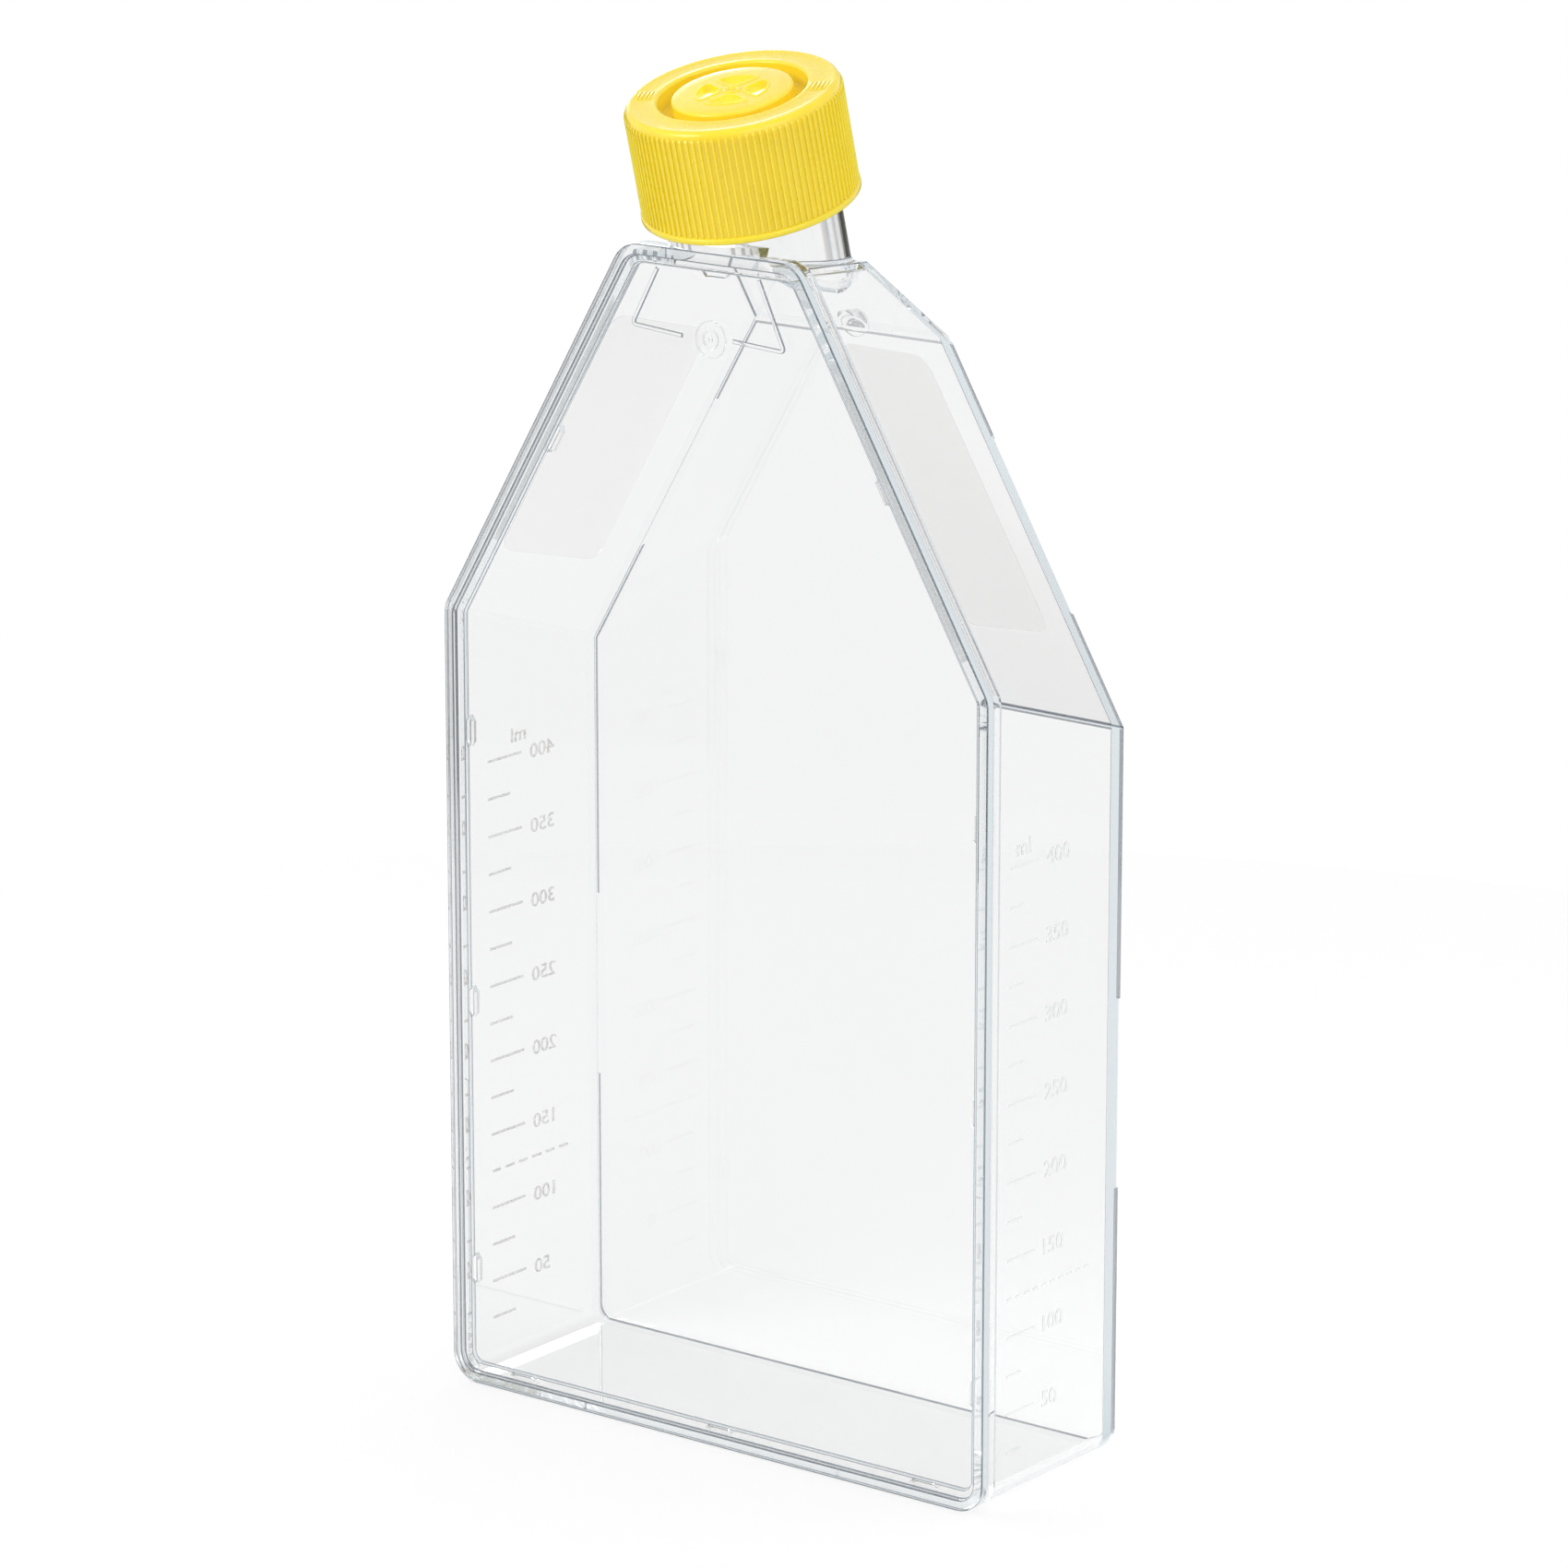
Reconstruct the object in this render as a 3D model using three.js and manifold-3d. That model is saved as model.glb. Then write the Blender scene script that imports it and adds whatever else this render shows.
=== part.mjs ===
// Cell culture flask with a canted neck and a vented screw cap, standing on its flat end wall.
// Millimetres, +Z up. The origin is the middle of the face that it stands on. X is the width,
// Y the depth (the lid faces -Y, the growth surface +Y) and Z runs along the flask to its neck.
import * as THREE from 'three';
import { mergeVertices } from 'three/addons/utils/BufferGeometryUtils.js';
import Module from 'manifold-3d';

const wasm = await Module();
wasm.setup();

// Fits
const clearance = 0.3;         // gap left between pieces that touch
const bury = 0.6;              // how far a raised feature reaches into the wall it stands on

// Tub: the moulded body, open towards the lid
const depth = 40;              // front of the lid's rim to the stacking ridge
const halfWidth = 55.8;
const wall = 1.8;
const baseCorner = 4;          // rounding of the two corners it stands on
const bendHeight = 138;        // where the shoulders start, at the open side
const bendDrop = 11.6;         // how much lower they start at the growth surface
const endHeight = 203.8;       // neck-end wall, at the open side
const endHalfWidth = 17.1;     // half its width there
const endFall = 2.1;           // how much lower it is where the ramp starts
const rampStart = 24.5;        // depth where the ramp starts, from the lid's front
const rampDrop = 16;           // how much lower the ramp meets the growth surface

// Flange round the tub's open side, and the lid's rim in front of it
const flangeOverhang = 1.2;
const flangeThickness = 1.8;
const bendRounding = 3;
const topRounding = 4;
const rimDepth = 1.8;
const rimWidth = 1.9;
const panelRecess = 1.0;
const panelThickness = 2.0;

// Locating tabs under the lid
const tabLength = 5.6;
const tabTaper = 1;
const tabThickness = 0.9;
const tabDepth = 1.2;
const sideTabHeights = [20, 68.3, 116.3];
const shoulderTabRise = 31.5;  // from the bend
const baseTabOffset = 43.3;

// Stacking ridge on the growth side, with gaps
const ridgeHeight = 0.6;
const ridgeWidth = 1.2;
const sideGap = [46.7, 79.8];          // heights
const shoulderGap = [144, 171.5];      // heights
const baseRidge = 11.4;                // half length of the middle stretch
const baseGap = 44;                    // offset where the corner stretch starts
const rampGap = 4;                     // the ridge ends this far below the ramp's foot

// Volume marks on both narrow walls
const markHeight = 0.25;
const markWidth = 0.5;
const markDepth = 8.3;         // from the lid's front to the marks
const longMark = 8;
const shortMark = 3.9;
const markPitch = 6.69;        // rise of 25 ml of liquid over the chamber's section
const markCount = 16;          // every second one is long
const fillCount = 5;           // the mark that is a dashed line instead
const fillDash = 1.6;
const fillDashes = 9;
const fillLineLength = 24;

// Moulding gates
const gateRadius = 1.9;
const gateHeight = 0.3;
const lidGateDrop = 13.2;      // from the end wall
const rampGateRadius = 2.9;

// Neck
const neckLean = THREE.MathUtils.degToRad(15.4);
const neckDepth = 14.1;        // from the lid's front to the axis, at the end wall
const neckRadius = 14.5;
const neckWall = 1.2;
const neckStub = 14;           // how far the bore reaches below the end wall
const capStart = 8.5;          // end wall to the cap's lip, along the axis

// Screw cap, with its heights from the lip
const capHeight = 19.45;
const capBore = 15.9;
const skirtRadius = 17.75;
const capLipRadius = 18.25;
const capLipHeight = 1;
const ribCount = 100;
const ribHeight = 0.35;
const ribWidth = 0.42;
const capRounding = 1.3;
const capRoof = 1.6;
const grooveWidth = 1.8;
const grooveDepth = 3.2;
const grooveFloor = 1.3;
const plugWall = 0.9;
const grooveChamfer = 0.5;
const discWall = 1.2;
const discRoof = 1.4;
const windowInner = 2;
const windowOuter = 6.2;
const spokeWidth = 1.6;
const windowCount = 4;
const windowTurn = THREE.MathUtils.degToRad(60);
const barCount = 6;            // in each of two opposite groups
const barTurn = THREE.MathUtils.degToRad(22);
const barLength = 3.4;
const barWidth = 0.35;
const barPitch = 0.72;
const barHeight = 0.2;

// Vent membrane
const membraneThickness = 0.3;

// Smoothness
const neckSides = 96;
const capSides = ribCount;
const cornerSteps = 6;
const cutterSize = 600;
const weldDistance = 1e-5;

const front = -depth / 2;
const seam = front + rimDepth + clearance;                 // the flange's front face
const growthFace = depth / 2 - ridgeHeight;
const panelBack = front + panelRecess + panelThickness;
const lidTop = endHeight + flangeOverhang;
const shoulderSlope = (endHeight - bendHeight) / (halfWidth - endHalfWidth);
const rampFoot = endHeight - rampDrop;
const boreRadius = neckRadius - neckWall;
const lipHeight = capStart + capHeight - capRoof - clearance;

// ---- Solids -------------------------------------------------------------------------------

function solid(geometry) {
  geometry.deleteAttribute('normal');
  geometry.deleteAttribute('uv');
  const merged = mergeVertices(geometry, weldDistance);
  const vertProperties = Float32Array.from(merged.attributes.position.array);
  const triVerts = Uint32Array.from(merged.index.array);
  return new wasm.Manifold(new wasm.Mesh({ numProp: 3, vertProperties, triVerts }));
}

function join(solids) {
  return solids.reduce((sum, next) => sum.add(next));
}

function cut(body, cutters) {
  return cutters.reduce((rest, cutter) => rest.subtract(cutter), body);
}

function meshOf(name, body, material) {
  const { vertProperties, triVerts } = body.getMesh();
  const geometry = new THREE.BufferGeometry();
  geometry.setAttribute('position', new THREE.BufferAttribute(Float32Array.from(vertProperties), 3));
  geometry.setIndex(new THREE.BufferAttribute(Uint32Array.from(triVerts), 1));
  geometry.computeVertexNormals();
  const mesh = new THREE.Mesh(geometry, material);
  mesh.name = name;
  return mesh;
}

// A box given by its lowest and highest corner.
function block(low, high) {
  const size = high.map((value, axis) => value - low[axis]);
  const middle = high.map((value, axis) => (value + low[axis]) / 2);
  return solid(new THREE.BoxGeometry(...size).translate(...middle));
}

// An outline drawn in X and Z, extruded along Y from one depth to another.
function prism(shape, from, to) {
  const options = { depth: to - from, bevelEnabled: false, curveSegments: cornerSteps };
  return solid(new THREE.ExtrudeGeometry(shape, options).rotateX(Math.PI / 2).translate(0, to, 0));
}

// A closed half profile of [radius, height] points, turned round Z.
function turned(profile, sides) {
  const points = profile.map(([radius, height]) => new THREE.Vector2(radius, height));
  return solid(new THREE.LatheGeometry([...points, points[0]], sides).rotateX(Math.PI / 2));
}

// A shape through corners { x, z, r }, each rounded by its radius r.
function roundedShape(corners) {
  const shape = new THREE.Shape();
  corners.forEach((corner, i) => {
    const at = new THREE.Vector2(corner.x, corner.z);
    const before = corners.at(i - 1);
    const after = corners[(i + 1) % corners.length];
    const back = new THREE.Vector2(before.x, before.z).sub(at).normalize();
    const ahead = new THREE.Vector2(after.x, after.z).sub(at).normalize();
    const half = Math.acos(back.dot(ahead)) / 2;
    const reach = corner.r / Math.tan(half);
    const start = back.clone().multiplyScalar(reach).add(at);
    const centre = back.clone().add(ahead).normalize().multiplyScalar(corner.r / Math.sin(half)).add(at);
    const end = ahead.clone().multiplyScalar(reach).add(at);
    const from = start.sub(centre).angle();
    const to = end.sub(centre).angle();
    shape.absarc(centre.x, centre.y, corner.r, from, to, false);
  });
  return shape;
}

// ---- Walls of the tub ---------------------------------------------------------------------

// Each slanting wall is a plane: a point on its outer face and the normal that points out.
function plane(a, b, c) {
  const normal = b.clone().sub(a).cross(c.clone().sub(a)).normalize();
  return { point: a, normal };
}

function shoulderPlane(side) {
  const low = new THREE.Vector3(side * halfWidth, seam, bendHeight);
  const high = new THREE.Vector3(side * endHalfWidth, seam, endHeight);
  const back = new THREE.Vector3(side * halfWidth, growthFace, bendHeight - bendDrop);
  return side > 0 ? plane(low, back, high) : plane(low, high, back);
}

const endPlane = plane(
  new THREE.Vector3(0, seam, endHeight),
  new THREE.Vector3(1, seam, endHeight),
  new THREE.Vector3(0, front + rampStart, endHeight - endFall),
);
const rampPlane = plane(
  new THREE.Vector3(0, front + rampStart, endHeight - endFall),
  new THREE.Vector3(1, front + rampStart, endHeight - endFall),
  new THREE.Vector3(0, growthFace, rampFoot),
);
const slantingWalls = [shoulderPlane(1), shoulderPlane(-1), endPlane, rampPlane];

// Everything outside a plane that is moved inwards by inset.
function beyond({ point, normal }, inset) {
  const turn = new THREE.Quaternion().setFromUnitVectors(new THREE.Vector3(0, 0, 1), normal);
  const box = new THREE.BoxGeometry(cutterSize, cutterSize, cutterSize);
  box.translate(0, 0, cutterSize / 2 - inset).applyQuaternion(turn);
  return solid(box.translate(point.x, point.y, point.z));
}

// The tub's outer form, or its hollow when inset is the wall, from one depth to another.
function tubForm(inset, from, to) {
  const side = halfWidth - inset;
  const top = endHeight + wall;
  const r = baseCorner - inset;
  const outline = roundedShape([
    { x: side, z: inset, r },
    { x: side, z: top, r: wall },
    { x: -side, z: top, r: wall },
    { x: -side, z: inset, r },
  ]);
  return cut(prism(outline, from, to), slantingWalls.map((face) => beyond(face, inset)));
}

// The outline of the tub's open side, grown by margin. It always stands on z = base.
function openOutline(margin, base) {
  const lean = Math.hypot(1, shoulderSlope);
  const side = halfWidth + margin;
  const top = endHeight + margin;
  const bend = bendHeight + margin * (lean - shoulderSlope);
  const corner = side - (top - bend) / shoulderSlope;
  const r = baseCorner + margin;
  return roundedShape([
    { x: side, z: base, r },
    { x: side, z: bend, r: bendRounding + margin },
    { x: corner, z: top, r: topRounding + margin },
    { x: -corner, z: top, r: topRounding + margin },
    { x: -side, z: bend, r: bendRounding + margin },
    { x: -side, z: base, r },
  ]);
}

// ---- Neck frame: its own Z is the neck's axis, with 0 at the end wall ------------------------

const neckFrame = new THREE.Matrix4().makeRotationX(neckLean);
neckFrame.setPosition(0, front + neckDepth, endHeight);

function onNeck(body) {
  return body.transform(neckFrame.elements);
}

function neckTube(radius, from, to) {
  return onNeck(turned([[0, from], [radius, from], [radius, to], [0, to]], neckSides));
}

// The neck stands over the lid's rim in front. A ledge above the rim closes it there.
function neckBore() {
  const ledge = block(
    [-halfWidth, front - depth, 0],
    [halfWidth, seam + flangeThickness, lidTop + clearance + neckWall],
  );
  return neckTube(boreRadius, -neckStub, lipHeight + wall).subtract(ledge);
}

// ---- Raised features of the tub --------------------------------------------------------------

// A band along the growth face's edge, standing out from it.
function ridgeBand() {
  const outer = tubForm(0, growthFace - bury, growthFace + ridgeHeight);
  const inner = tubForm(ridgeWidth, growthFace - 2 * bury, growthFace + ridgeHeight + bury);
  return outer.subtract(inner);
}

function stackingRidge() {
  const reach = halfWidth + wall;
  const gap = (x0, x1, z0, z1) => block([x0, 0, z0], [x1, depth, z1]);
  const middle = (baseRidge + baseGap) / 2;
  const half = (baseGap - baseRidge) / 2;
  const baseGaps = [-1, 1].map((s) => gap(s * middle - half, s * middle + half, -wall, baseCorner));
  const sideGaps = [sideGap, shoulderGap].map(([low, high]) => gap(-reach, reach, low, high));
  const endGap = gap(-reach, reach, rampFoot - rampGap, endHeight);
  return cut(ridgeBand(), [...baseGaps, ...sideGaps, endGap]);
}

// Heights are counted from the chamber's floor, for a flask that stands on its end wall.
function mark(side, from, length, count) {
  const level = wall + count * markPitch;
  const inner = side * (halfWidth - bury);
  const outer = side * (halfWidth + markHeight);
  return block(
    [Math.min(inner, outer), from, level - markWidth / 2],
    [Math.max(inner, outer), from + length, level + markWidth / 2],
  );
}

function volumeMarks(side) {
  const from = front + markDepth;
  const pitch = (fillLineLength - fillDash) / (fillDashes - 1);
  const marks = [];
  for (let count = 1; count <= markCount; count += 1) {
    const length = count % 2 === 0 ? longMark : shortMark;
    if (count !== fillCount) marks.push(mark(side, from, length, count));
  }
  for (let i = 0; i < fillDashes; i += 1) {
    marks.push(mark(side, from + i * pitch, fillDash, fillCount));
  }
  return marks;
}

function gate(radius, height, from, to) {
  const shape = new THREE.Shape().absarc(0, height, radius, 0, 2 * Math.PI, false);
  return prism(shape, from, to);
}

function makeTub() {
  const shell = tubForm(0, seam, growthFace);
  const flange = prism(openOutline(flangeOverhang, 0), seam, seam + flangeThickness);
  const lidSpace = block(
    [-2 * halfWidth, front - depth, -wall],
    [2 * halfWidth, seam, lidTop + clearance],
  );
  const gateBack = growthFace - 2 * rampGateRadius;
  const rampGate = gate(rampGateRadius, rampFoot, gateBack, growthFace + gateHeight);
  const outside = join([shell, flange, neckTube(neckRadius, -neckStub, lipHeight), rampGate]);
  const hollow = tubForm(wall, front - wall, growthFace - wall).add(neckBore());
  const hollowed = cut(outside, [lidSpace, hollow]);
  return join([hollowed, stackingRidge(), ...volumeMarks(1), ...volumeMarks(-1)]);
}

// ---- Lid ---------------------------------------------------------------------------------------

// A tab stands on the panel's inner face, with its long side along the wall that it locates.
function tab(x, z, turn) {
  const half = tabLength / 2;
  const shape = new THREE.Shape([
    new THREE.Vector2(-half, 0),
    new THREE.Vector2(half, 0),
    new THREE.Vector2(half - tabTaper, tabThickness),
    new THREE.Vector2(tabTaper - half, tabThickness),
  ]);
  const body = prism(shape, panelBack - bury, panelBack + tabDepth);
  const place = new THREE.Matrix4().makeRotationY(-turn).setPosition(x, 0, z);
  return body.transform(place.elements);
}

// Three tabs on the base, three on each side, one on each shoulder and one at the neck end.
function tabs() {
  const inset = wall + clearance;
  const side = halfWidth - inset;
  const lean = Math.hypot(1, shoulderSlope);
  const fall = bendDrop * (panelBack + tabDepth - seam) / (growthFace - seam);
  const tilt = Math.atan(shoulderSlope);
  const shoulderX = halfWidth - (shoulderTabRise + fall + inset * lean) / shoulderSlope;
  const shoulderZ = bendHeight + shoulderTabRise;
  const end = endHeight - inset - endFall * (panelBack + tabDepth - seam) / (front + rampStart - seam);
  const list = [-baseTabOffset, 0, baseTabOffset].map((x) => tab(x, inset, 0));
  sideTabHeights.forEach((z) => list.push(tab(side, z, Math.PI / 2), tab(-side, z, -Math.PI / 2)));
  list.push(tab(shoulderX, shoulderZ, Math.PI - tilt), tab(-shoulderX, shoulderZ, Math.PI + tilt));
  list.push(tab(0, end, Math.PI));
  return list;
}

function makeLid() {
  const rim = prism(openOutline(flangeOverhang, 0), front, front + rimDepth);
  const recess = prism(openOutline(flangeOverhang - rimWidth, rimWidth), front - wall, front + panelRecess);
  const inset = wall + clearance;
  const plug = prism(openOutline(-inset, inset), front + rimDepth - bury, panelBack);
  const bossHeight = endHeight - lidGateDrop;
  const boss = gate(gateRadius, bossHeight, front + panelRecess - gateHeight, front + rimDepth);
  return join([rim.subtract(recess), plug, boss, ...tabs()]);
}

// ---- Screw cap ---------------------------------------------------------------------------------

const plugRadius = boreRadius - clearance;
const grooveOuter = plugRadius - plugWall;
const discRadius = grooveOuter - grooveWidth;
const discHollow = discRadius - discWall;
const capUnder = capHeight - capRoof;

function capProfile() {
  const steps = Array.from({ length: cornerSteps + 1 }, (_, i) => (i / cornerSteps) * Math.PI / 2);
  const corner = skirtRadius - capRounding;
  const edge = capHeight - capRounding;
  const rounding = steps.map((a) => [corner + capRounding * Math.cos(a), edge + capRounding * Math.sin(a)]);
  return [
    [capBore, 0],
    [capLipRadius, 0],
    [capLipRadius, capLipHeight],
    [skirtRadius, capLipHeight + capLipRadius - skirtRadius],
    ...rounding,
    [grooveOuter + grooveChamfer, capHeight],
    [grooveOuter, capHeight - grooveChamfer],
    [grooveOuter, capHeight - grooveDepth],
    [discRadius, capHeight - grooveDepth],
    [discRadius, capHeight],
    [0, capHeight],
    [0, capHeight - discRoof],
    [discHollow, capHeight - discRoof],
    [discHollow, capHeight - grooveDepth - grooveFloor],
    [plugRadius, capHeight - grooveDepth - grooveFloor],
    [plugRadius, capUnder],
    [capBore, capUnder],
  ];
}

// The ribs are one toothed ring whose teeth end just under the cap's rounded edge.
function ribRing() {
  const outer = skirtRadius + ribHeight;
  const halfTooth = ribWidth / 2 / outer;
  const axis = new THREE.Vector2(0, 0);
  const points = [];
  for (let i = 0; i < ribCount; i += 1) {
    const middle = (i / ribCount) * 2 * Math.PI;
    const at = (radius, turn) => {
      points.push(new THREE.Vector2(radius, 0).rotateAround(axis, middle + turn));
    };
    at(skirtRadius, -Math.PI / ribCount);
    at(skirtRadius, -2 * halfTooth);
    at(outer, -halfTooth);
    at(outer, halfTooth);
    at(skirtRadius, 2 * halfTooth);
  }
  const shape = new THREE.Shape(points);
  const hole = new THREE.Path().absarc(0, 0, skirtRadius - bury, 0, 2 * Math.PI, true);
  shape.holes.push(hole);
  const ribLength = capHeight - capRounding - capLipHeight;
  const options = { depth: ribLength, bevelEnabled: false, curveSegments: neckSides / 2 };
  return solid(new THREE.ExtrudeGeometry(shape, options).translate(0, 0, capLipHeight));
}

function windowCutter(place) {
  const sector = 2 * Math.PI / windowCount;
  const shift = spokeWidth / 2;
  const inner = Math.asin(shift / windowInner);
  const outer = Math.asin(shift / windowOuter);
  const shape = new THREE.Shape();
  shape.absarc(0, 0, windowOuter, outer, sector - outer, false);
  shape.absarc(0, 0, windowInner, sector - inner, inner, true);
  const options = { depth: discRoof + 2 * clearance, bevelEnabled: false, curveSegments: 2 * cornerSteps };
  const geometry = new THREE.ExtrudeGeometry(shape, options).rotateZ(windowTurn + place * sector);
  return solid(geometry.translate(0, 0, capHeight - discRoof - clearance));
}

// Short raised bars in two opposite groups on the cap's flat top.
function barGroup(turn) {
  const middle = (grooveOuter + skirtRadius) / 2;
  const bars = [];
  for (let i = 0; i < barCount; i += 1) {
    const x = middle + (i - (barCount - 1) / 2) * barPitch;
    const bar = new THREE.BoxGeometry(barWidth, barLength, bury + barHeight);
    bar.translate(x, 0, capHeight + (barHeight - bury) / 2).rotateZ(turn);
    bars.push(solid(bar));
  }
  return bars;
}

function makeCap() {
  const windows = Array.from({ length: windowCount }, (_, place) => windowCutter(place));
  const bars = [...barGroup(barTurn), ...barGroup(barTurn + Math.PI)];
  const body = join([turned(capProfile(), capSides), ribRing(), ...bars]);
  return onNeck(cut(body, windows).translate(0, 0, capStart));
}

function makeMembrane() {
  const top = capStart + capHeight - discRoof - clearance;
  return neckTube(discHollow - clearance, top - membraneThickness, top);
}

// ---- Assembly ----------------------------------------------------------------------------------

const clear = new THREE.MeshStandardMaterial({ color: 0xeef2f4, roughness: 0.08 });
clear.transparent = true;
clear.opacity = 0.3;
const yellow = new THREE.MeshStandardMaterial({ color: 0xf0d23c, roughness: 0.45 });
const white = new THREE.MeshStandardMaterial({ color: 0xf7f7f5, roughness: 0.9 });

const flask = new THREE.Group();
flask.add(meshOf('flask_tub', makeTub(), clear));
flask.add(meshOf('top_plate', makeLid(), clear));
flask.add(meshOf('screw_cap', makeCap(), yellow));
flask.add(meshOf('vent_membrane', makeMembrane(), white));

export default flask;
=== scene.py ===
import math

import bmesh
import bpy
from mathutils import Matrix, Vector


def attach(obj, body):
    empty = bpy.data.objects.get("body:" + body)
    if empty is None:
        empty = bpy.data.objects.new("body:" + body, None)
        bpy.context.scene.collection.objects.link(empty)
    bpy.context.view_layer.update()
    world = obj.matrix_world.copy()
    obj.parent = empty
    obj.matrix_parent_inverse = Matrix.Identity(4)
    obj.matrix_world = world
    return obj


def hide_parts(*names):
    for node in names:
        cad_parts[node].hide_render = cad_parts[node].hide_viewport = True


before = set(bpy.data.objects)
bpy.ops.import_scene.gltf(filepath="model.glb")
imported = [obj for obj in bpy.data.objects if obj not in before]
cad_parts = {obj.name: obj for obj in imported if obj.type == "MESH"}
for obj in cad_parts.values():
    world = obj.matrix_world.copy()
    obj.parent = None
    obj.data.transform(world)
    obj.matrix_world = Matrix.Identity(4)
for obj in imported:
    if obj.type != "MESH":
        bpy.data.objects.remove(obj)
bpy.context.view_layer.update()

MM = 0.001
NEAR = 1e-5                      # how close two places count as one, in metres
MERGE = 2e-6                     # doubled corners closer than this become one, in metres
NARROW = 0.2                     # a face narrower than this belongs to a rounded edge

# ---- The flask's own sizes, in millimetres -----------------------------------
HALF_WIDTH = 55.8
WALL = 1.8
FRONT = -20.0                    # the lid's front
SEAM = -17.9                     # the flange's front
GROWTH = 19.4                    # outside of the growth surface
BACK = 20.0                      # top of the stacking ridge
PANEL_BACK = -17.0
BASE_CORNER = 4.0
BEND = 138.0                     # where the shoulders start, at the open side
BEND_DROP = 11.6
END = 203.8                      # neck-end wall, at the open side
END_HALF_WIDTH = 17.1
END_FALL = 2.1
RAMP_START = 4.5                 # depth where the ramp starts
RAMP_FOOT = 187.8
OVERHANG = 1.2                   # of the flange and the rim
FLANGE = 1.8
RIM_DEPTH = 1.8
RIM_WIDTH = 1.9
RECESS = 1.0
PLUG_GAP = 2.1                   # lid's plug to the outside of the tub
BEND_ROUNDING = 3.0
TOP_ROUNDING = 4.0
BEND_SHARE = 0.273               # how far a round corner reaches from the bend, for a radius of 1
TOP_SHARE = 0.572                # the same at the top corners
RIDGE_WIDTH = 1.2
SIDE_GAP = (46.7, 79.8)          # heights where the ridge is left out
SHOULDER_GAP = (144.0, 171.5)
RAMP_GAP = 1.2
BASE_RIDGE = 11.4                # half length of its stretch in the middle of the base
BASE_GAP = 44.0
NECK_AT = (0.0, -5.9, 203.8)
NECK_LEAN = math.radians(15.4)
NECK_RADIUS = 14.5
BORE_RADIUS = 13.3
NECK_LIP = 26.05
NECK_STUB = 14.0
NECK_SIDES = 144
CAP_START = 8.5
BEYOND = 1.0                     # how far a cutter reaches past what it cuts
FAR_OUT = 60.0                   # past everything, to the side or to the front

SLOPE = (END - BEND) / (HALF_WIDTH - END_HALF_WIDTH)
LEAN = math.hypot(1, SLOPE)
FLANGE_BACK = SEAM + FLANGE
NECK_FRAME = Matrix.Translation(Vector(NECK_AT) * MM) @ Matrix.Rotation(NECK_LEAN, 4, "X")


# ---- Working with one piece at a time ----------------------------------------
def mm(x, y, z):
    return Vector((x, y, z)) * MM


def use(piece):
    """Makes the piece the only selected one."""
    bpy.ops.object.select_all(action="DESELECT")
    piece.select_set(True)
    bpy.context.view_layer.objects.active = piece


def edit(piece):
    use(piece)
    bpy.ops.object.mode_set(mode="EDIT")


def leave():
    bpy.ops.object.mode_set(mode="OBJECT")


def pick(piece, kind, test):
    """Selects only those faces, edges or corners of the piece in edit mode that pass the test."""
    bpy.ops.mesh.select_mode(type=kind)
    bpy.ops.mesh.select_all(action="DESELECT")
    mesh = bmesh.from_edit_mesh(piece.data)
    items = {"FACE": mesh.faces, "EDGE": mesh.edges, "VERT": mesh.verts}[kind]
    found = [item for item in items if test(item)]
    for item in found:
        item.select_set(True)
    mesh.select_flush_mode()
    bmesh.update_edit_mesh(piece.data)
    return len(found)


def face_outwards():
    """Points all faces of the piece in edit mode outwards."""
    bpy.ops.mesh.select_all(action="SELECT")
    bpy.ops.mesh.normals_make_consistent(inside=False)


def merge_doubles():
    bpy.ops.mesh.select_all(action="SELECT")
    bpy.ops.mesh.remove_doubles(threshold=MERGE)


def newest(name):
    piece = bpy.context.object
    piece.name = name
    bpy.ops.object.transform_apply(location=True, rotation=True, scale=True)
    return piece


def cuboid(name, low, high):
    bpy.ops.object.select_all(action="DESELECT")
    low, high = mm(*low), mm(*high)
    bpy.ops.mesh.primitive_cube_add(size=1, location=(low + high) / 2, scale=high - low)
    return newest(name)


def rod(name, radius, low, high, sides=96):
    """A cylinder round Z."""
    bpy.ops.object.select_all(action="DESELECT")
    middle = mm(0, 0, (low + high) / 2)
    bpy.ops.mesh.primitive_cylinder_add(
        vertices=sides, radius=radius * MM, depth=(high - low) * MM, location=middle
    )
    return newest(name)


def outline(name, points, closed=True):
    """Corners joined by edges. A circle gives the loop, and its corners go to the points."""
    bpy.ops.object.select_all(action="DESELECT")
    bpy.ops.mesh.primitive_circle_add(vertices=len(points), radius=MM)
    piece = newest(name)
    for corner, point in zip(piece.data.vertices, points):
        corner.co = point
    if not closed:
        edit(piece)
        last = len(points) - 1
        pick(piece, "EDGE", lambda e: {v.index for v in e.verts} == {0, last})
        bpy.ops.mesh.delete(type="EDGE")
        leave()
    return piece


def raise_outline(move):
    """Fills the outline in edit mode and extrudes it to a closed plate."""
    bpy.ops.mesh.select_all(action="SELECT")
    bpy.ops.mesh.edge_face_add()
    bpy.ops.mesh.extrude_region_move(TRANSFORM_OT_translate={"value": move})
    face_outwards()


def spun(name, profile, steps):
    """A closed half profile of [radius, height] points, turned once round Z."""
    piece = outline(name, [mm(radius, 0, height) for radius, height in profile])
    edit(piece)
    bpy.ops.mesh.select_all(action="SELECT")
    bpy.ops.mesh.spin(steps=steps, angle=2 * math.pi, center=(0, 0, 0), axis=(0, 0, 1))
    merge_doubles()
    bpy.ops.mesh.delete_loose()
    face_outwards()
    leave()
    return piece


def steps_between(start, end, count):
    return [start + (end - start) * i / count for i in range(count + 1)]


def round_points(radius, start, end, count):
    """Points on a circle round the middle, with angles in radians."""
    return [(radius * math.cos(a), radius * math.sin(a)) for a in steps_between(start, end, count)]


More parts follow.
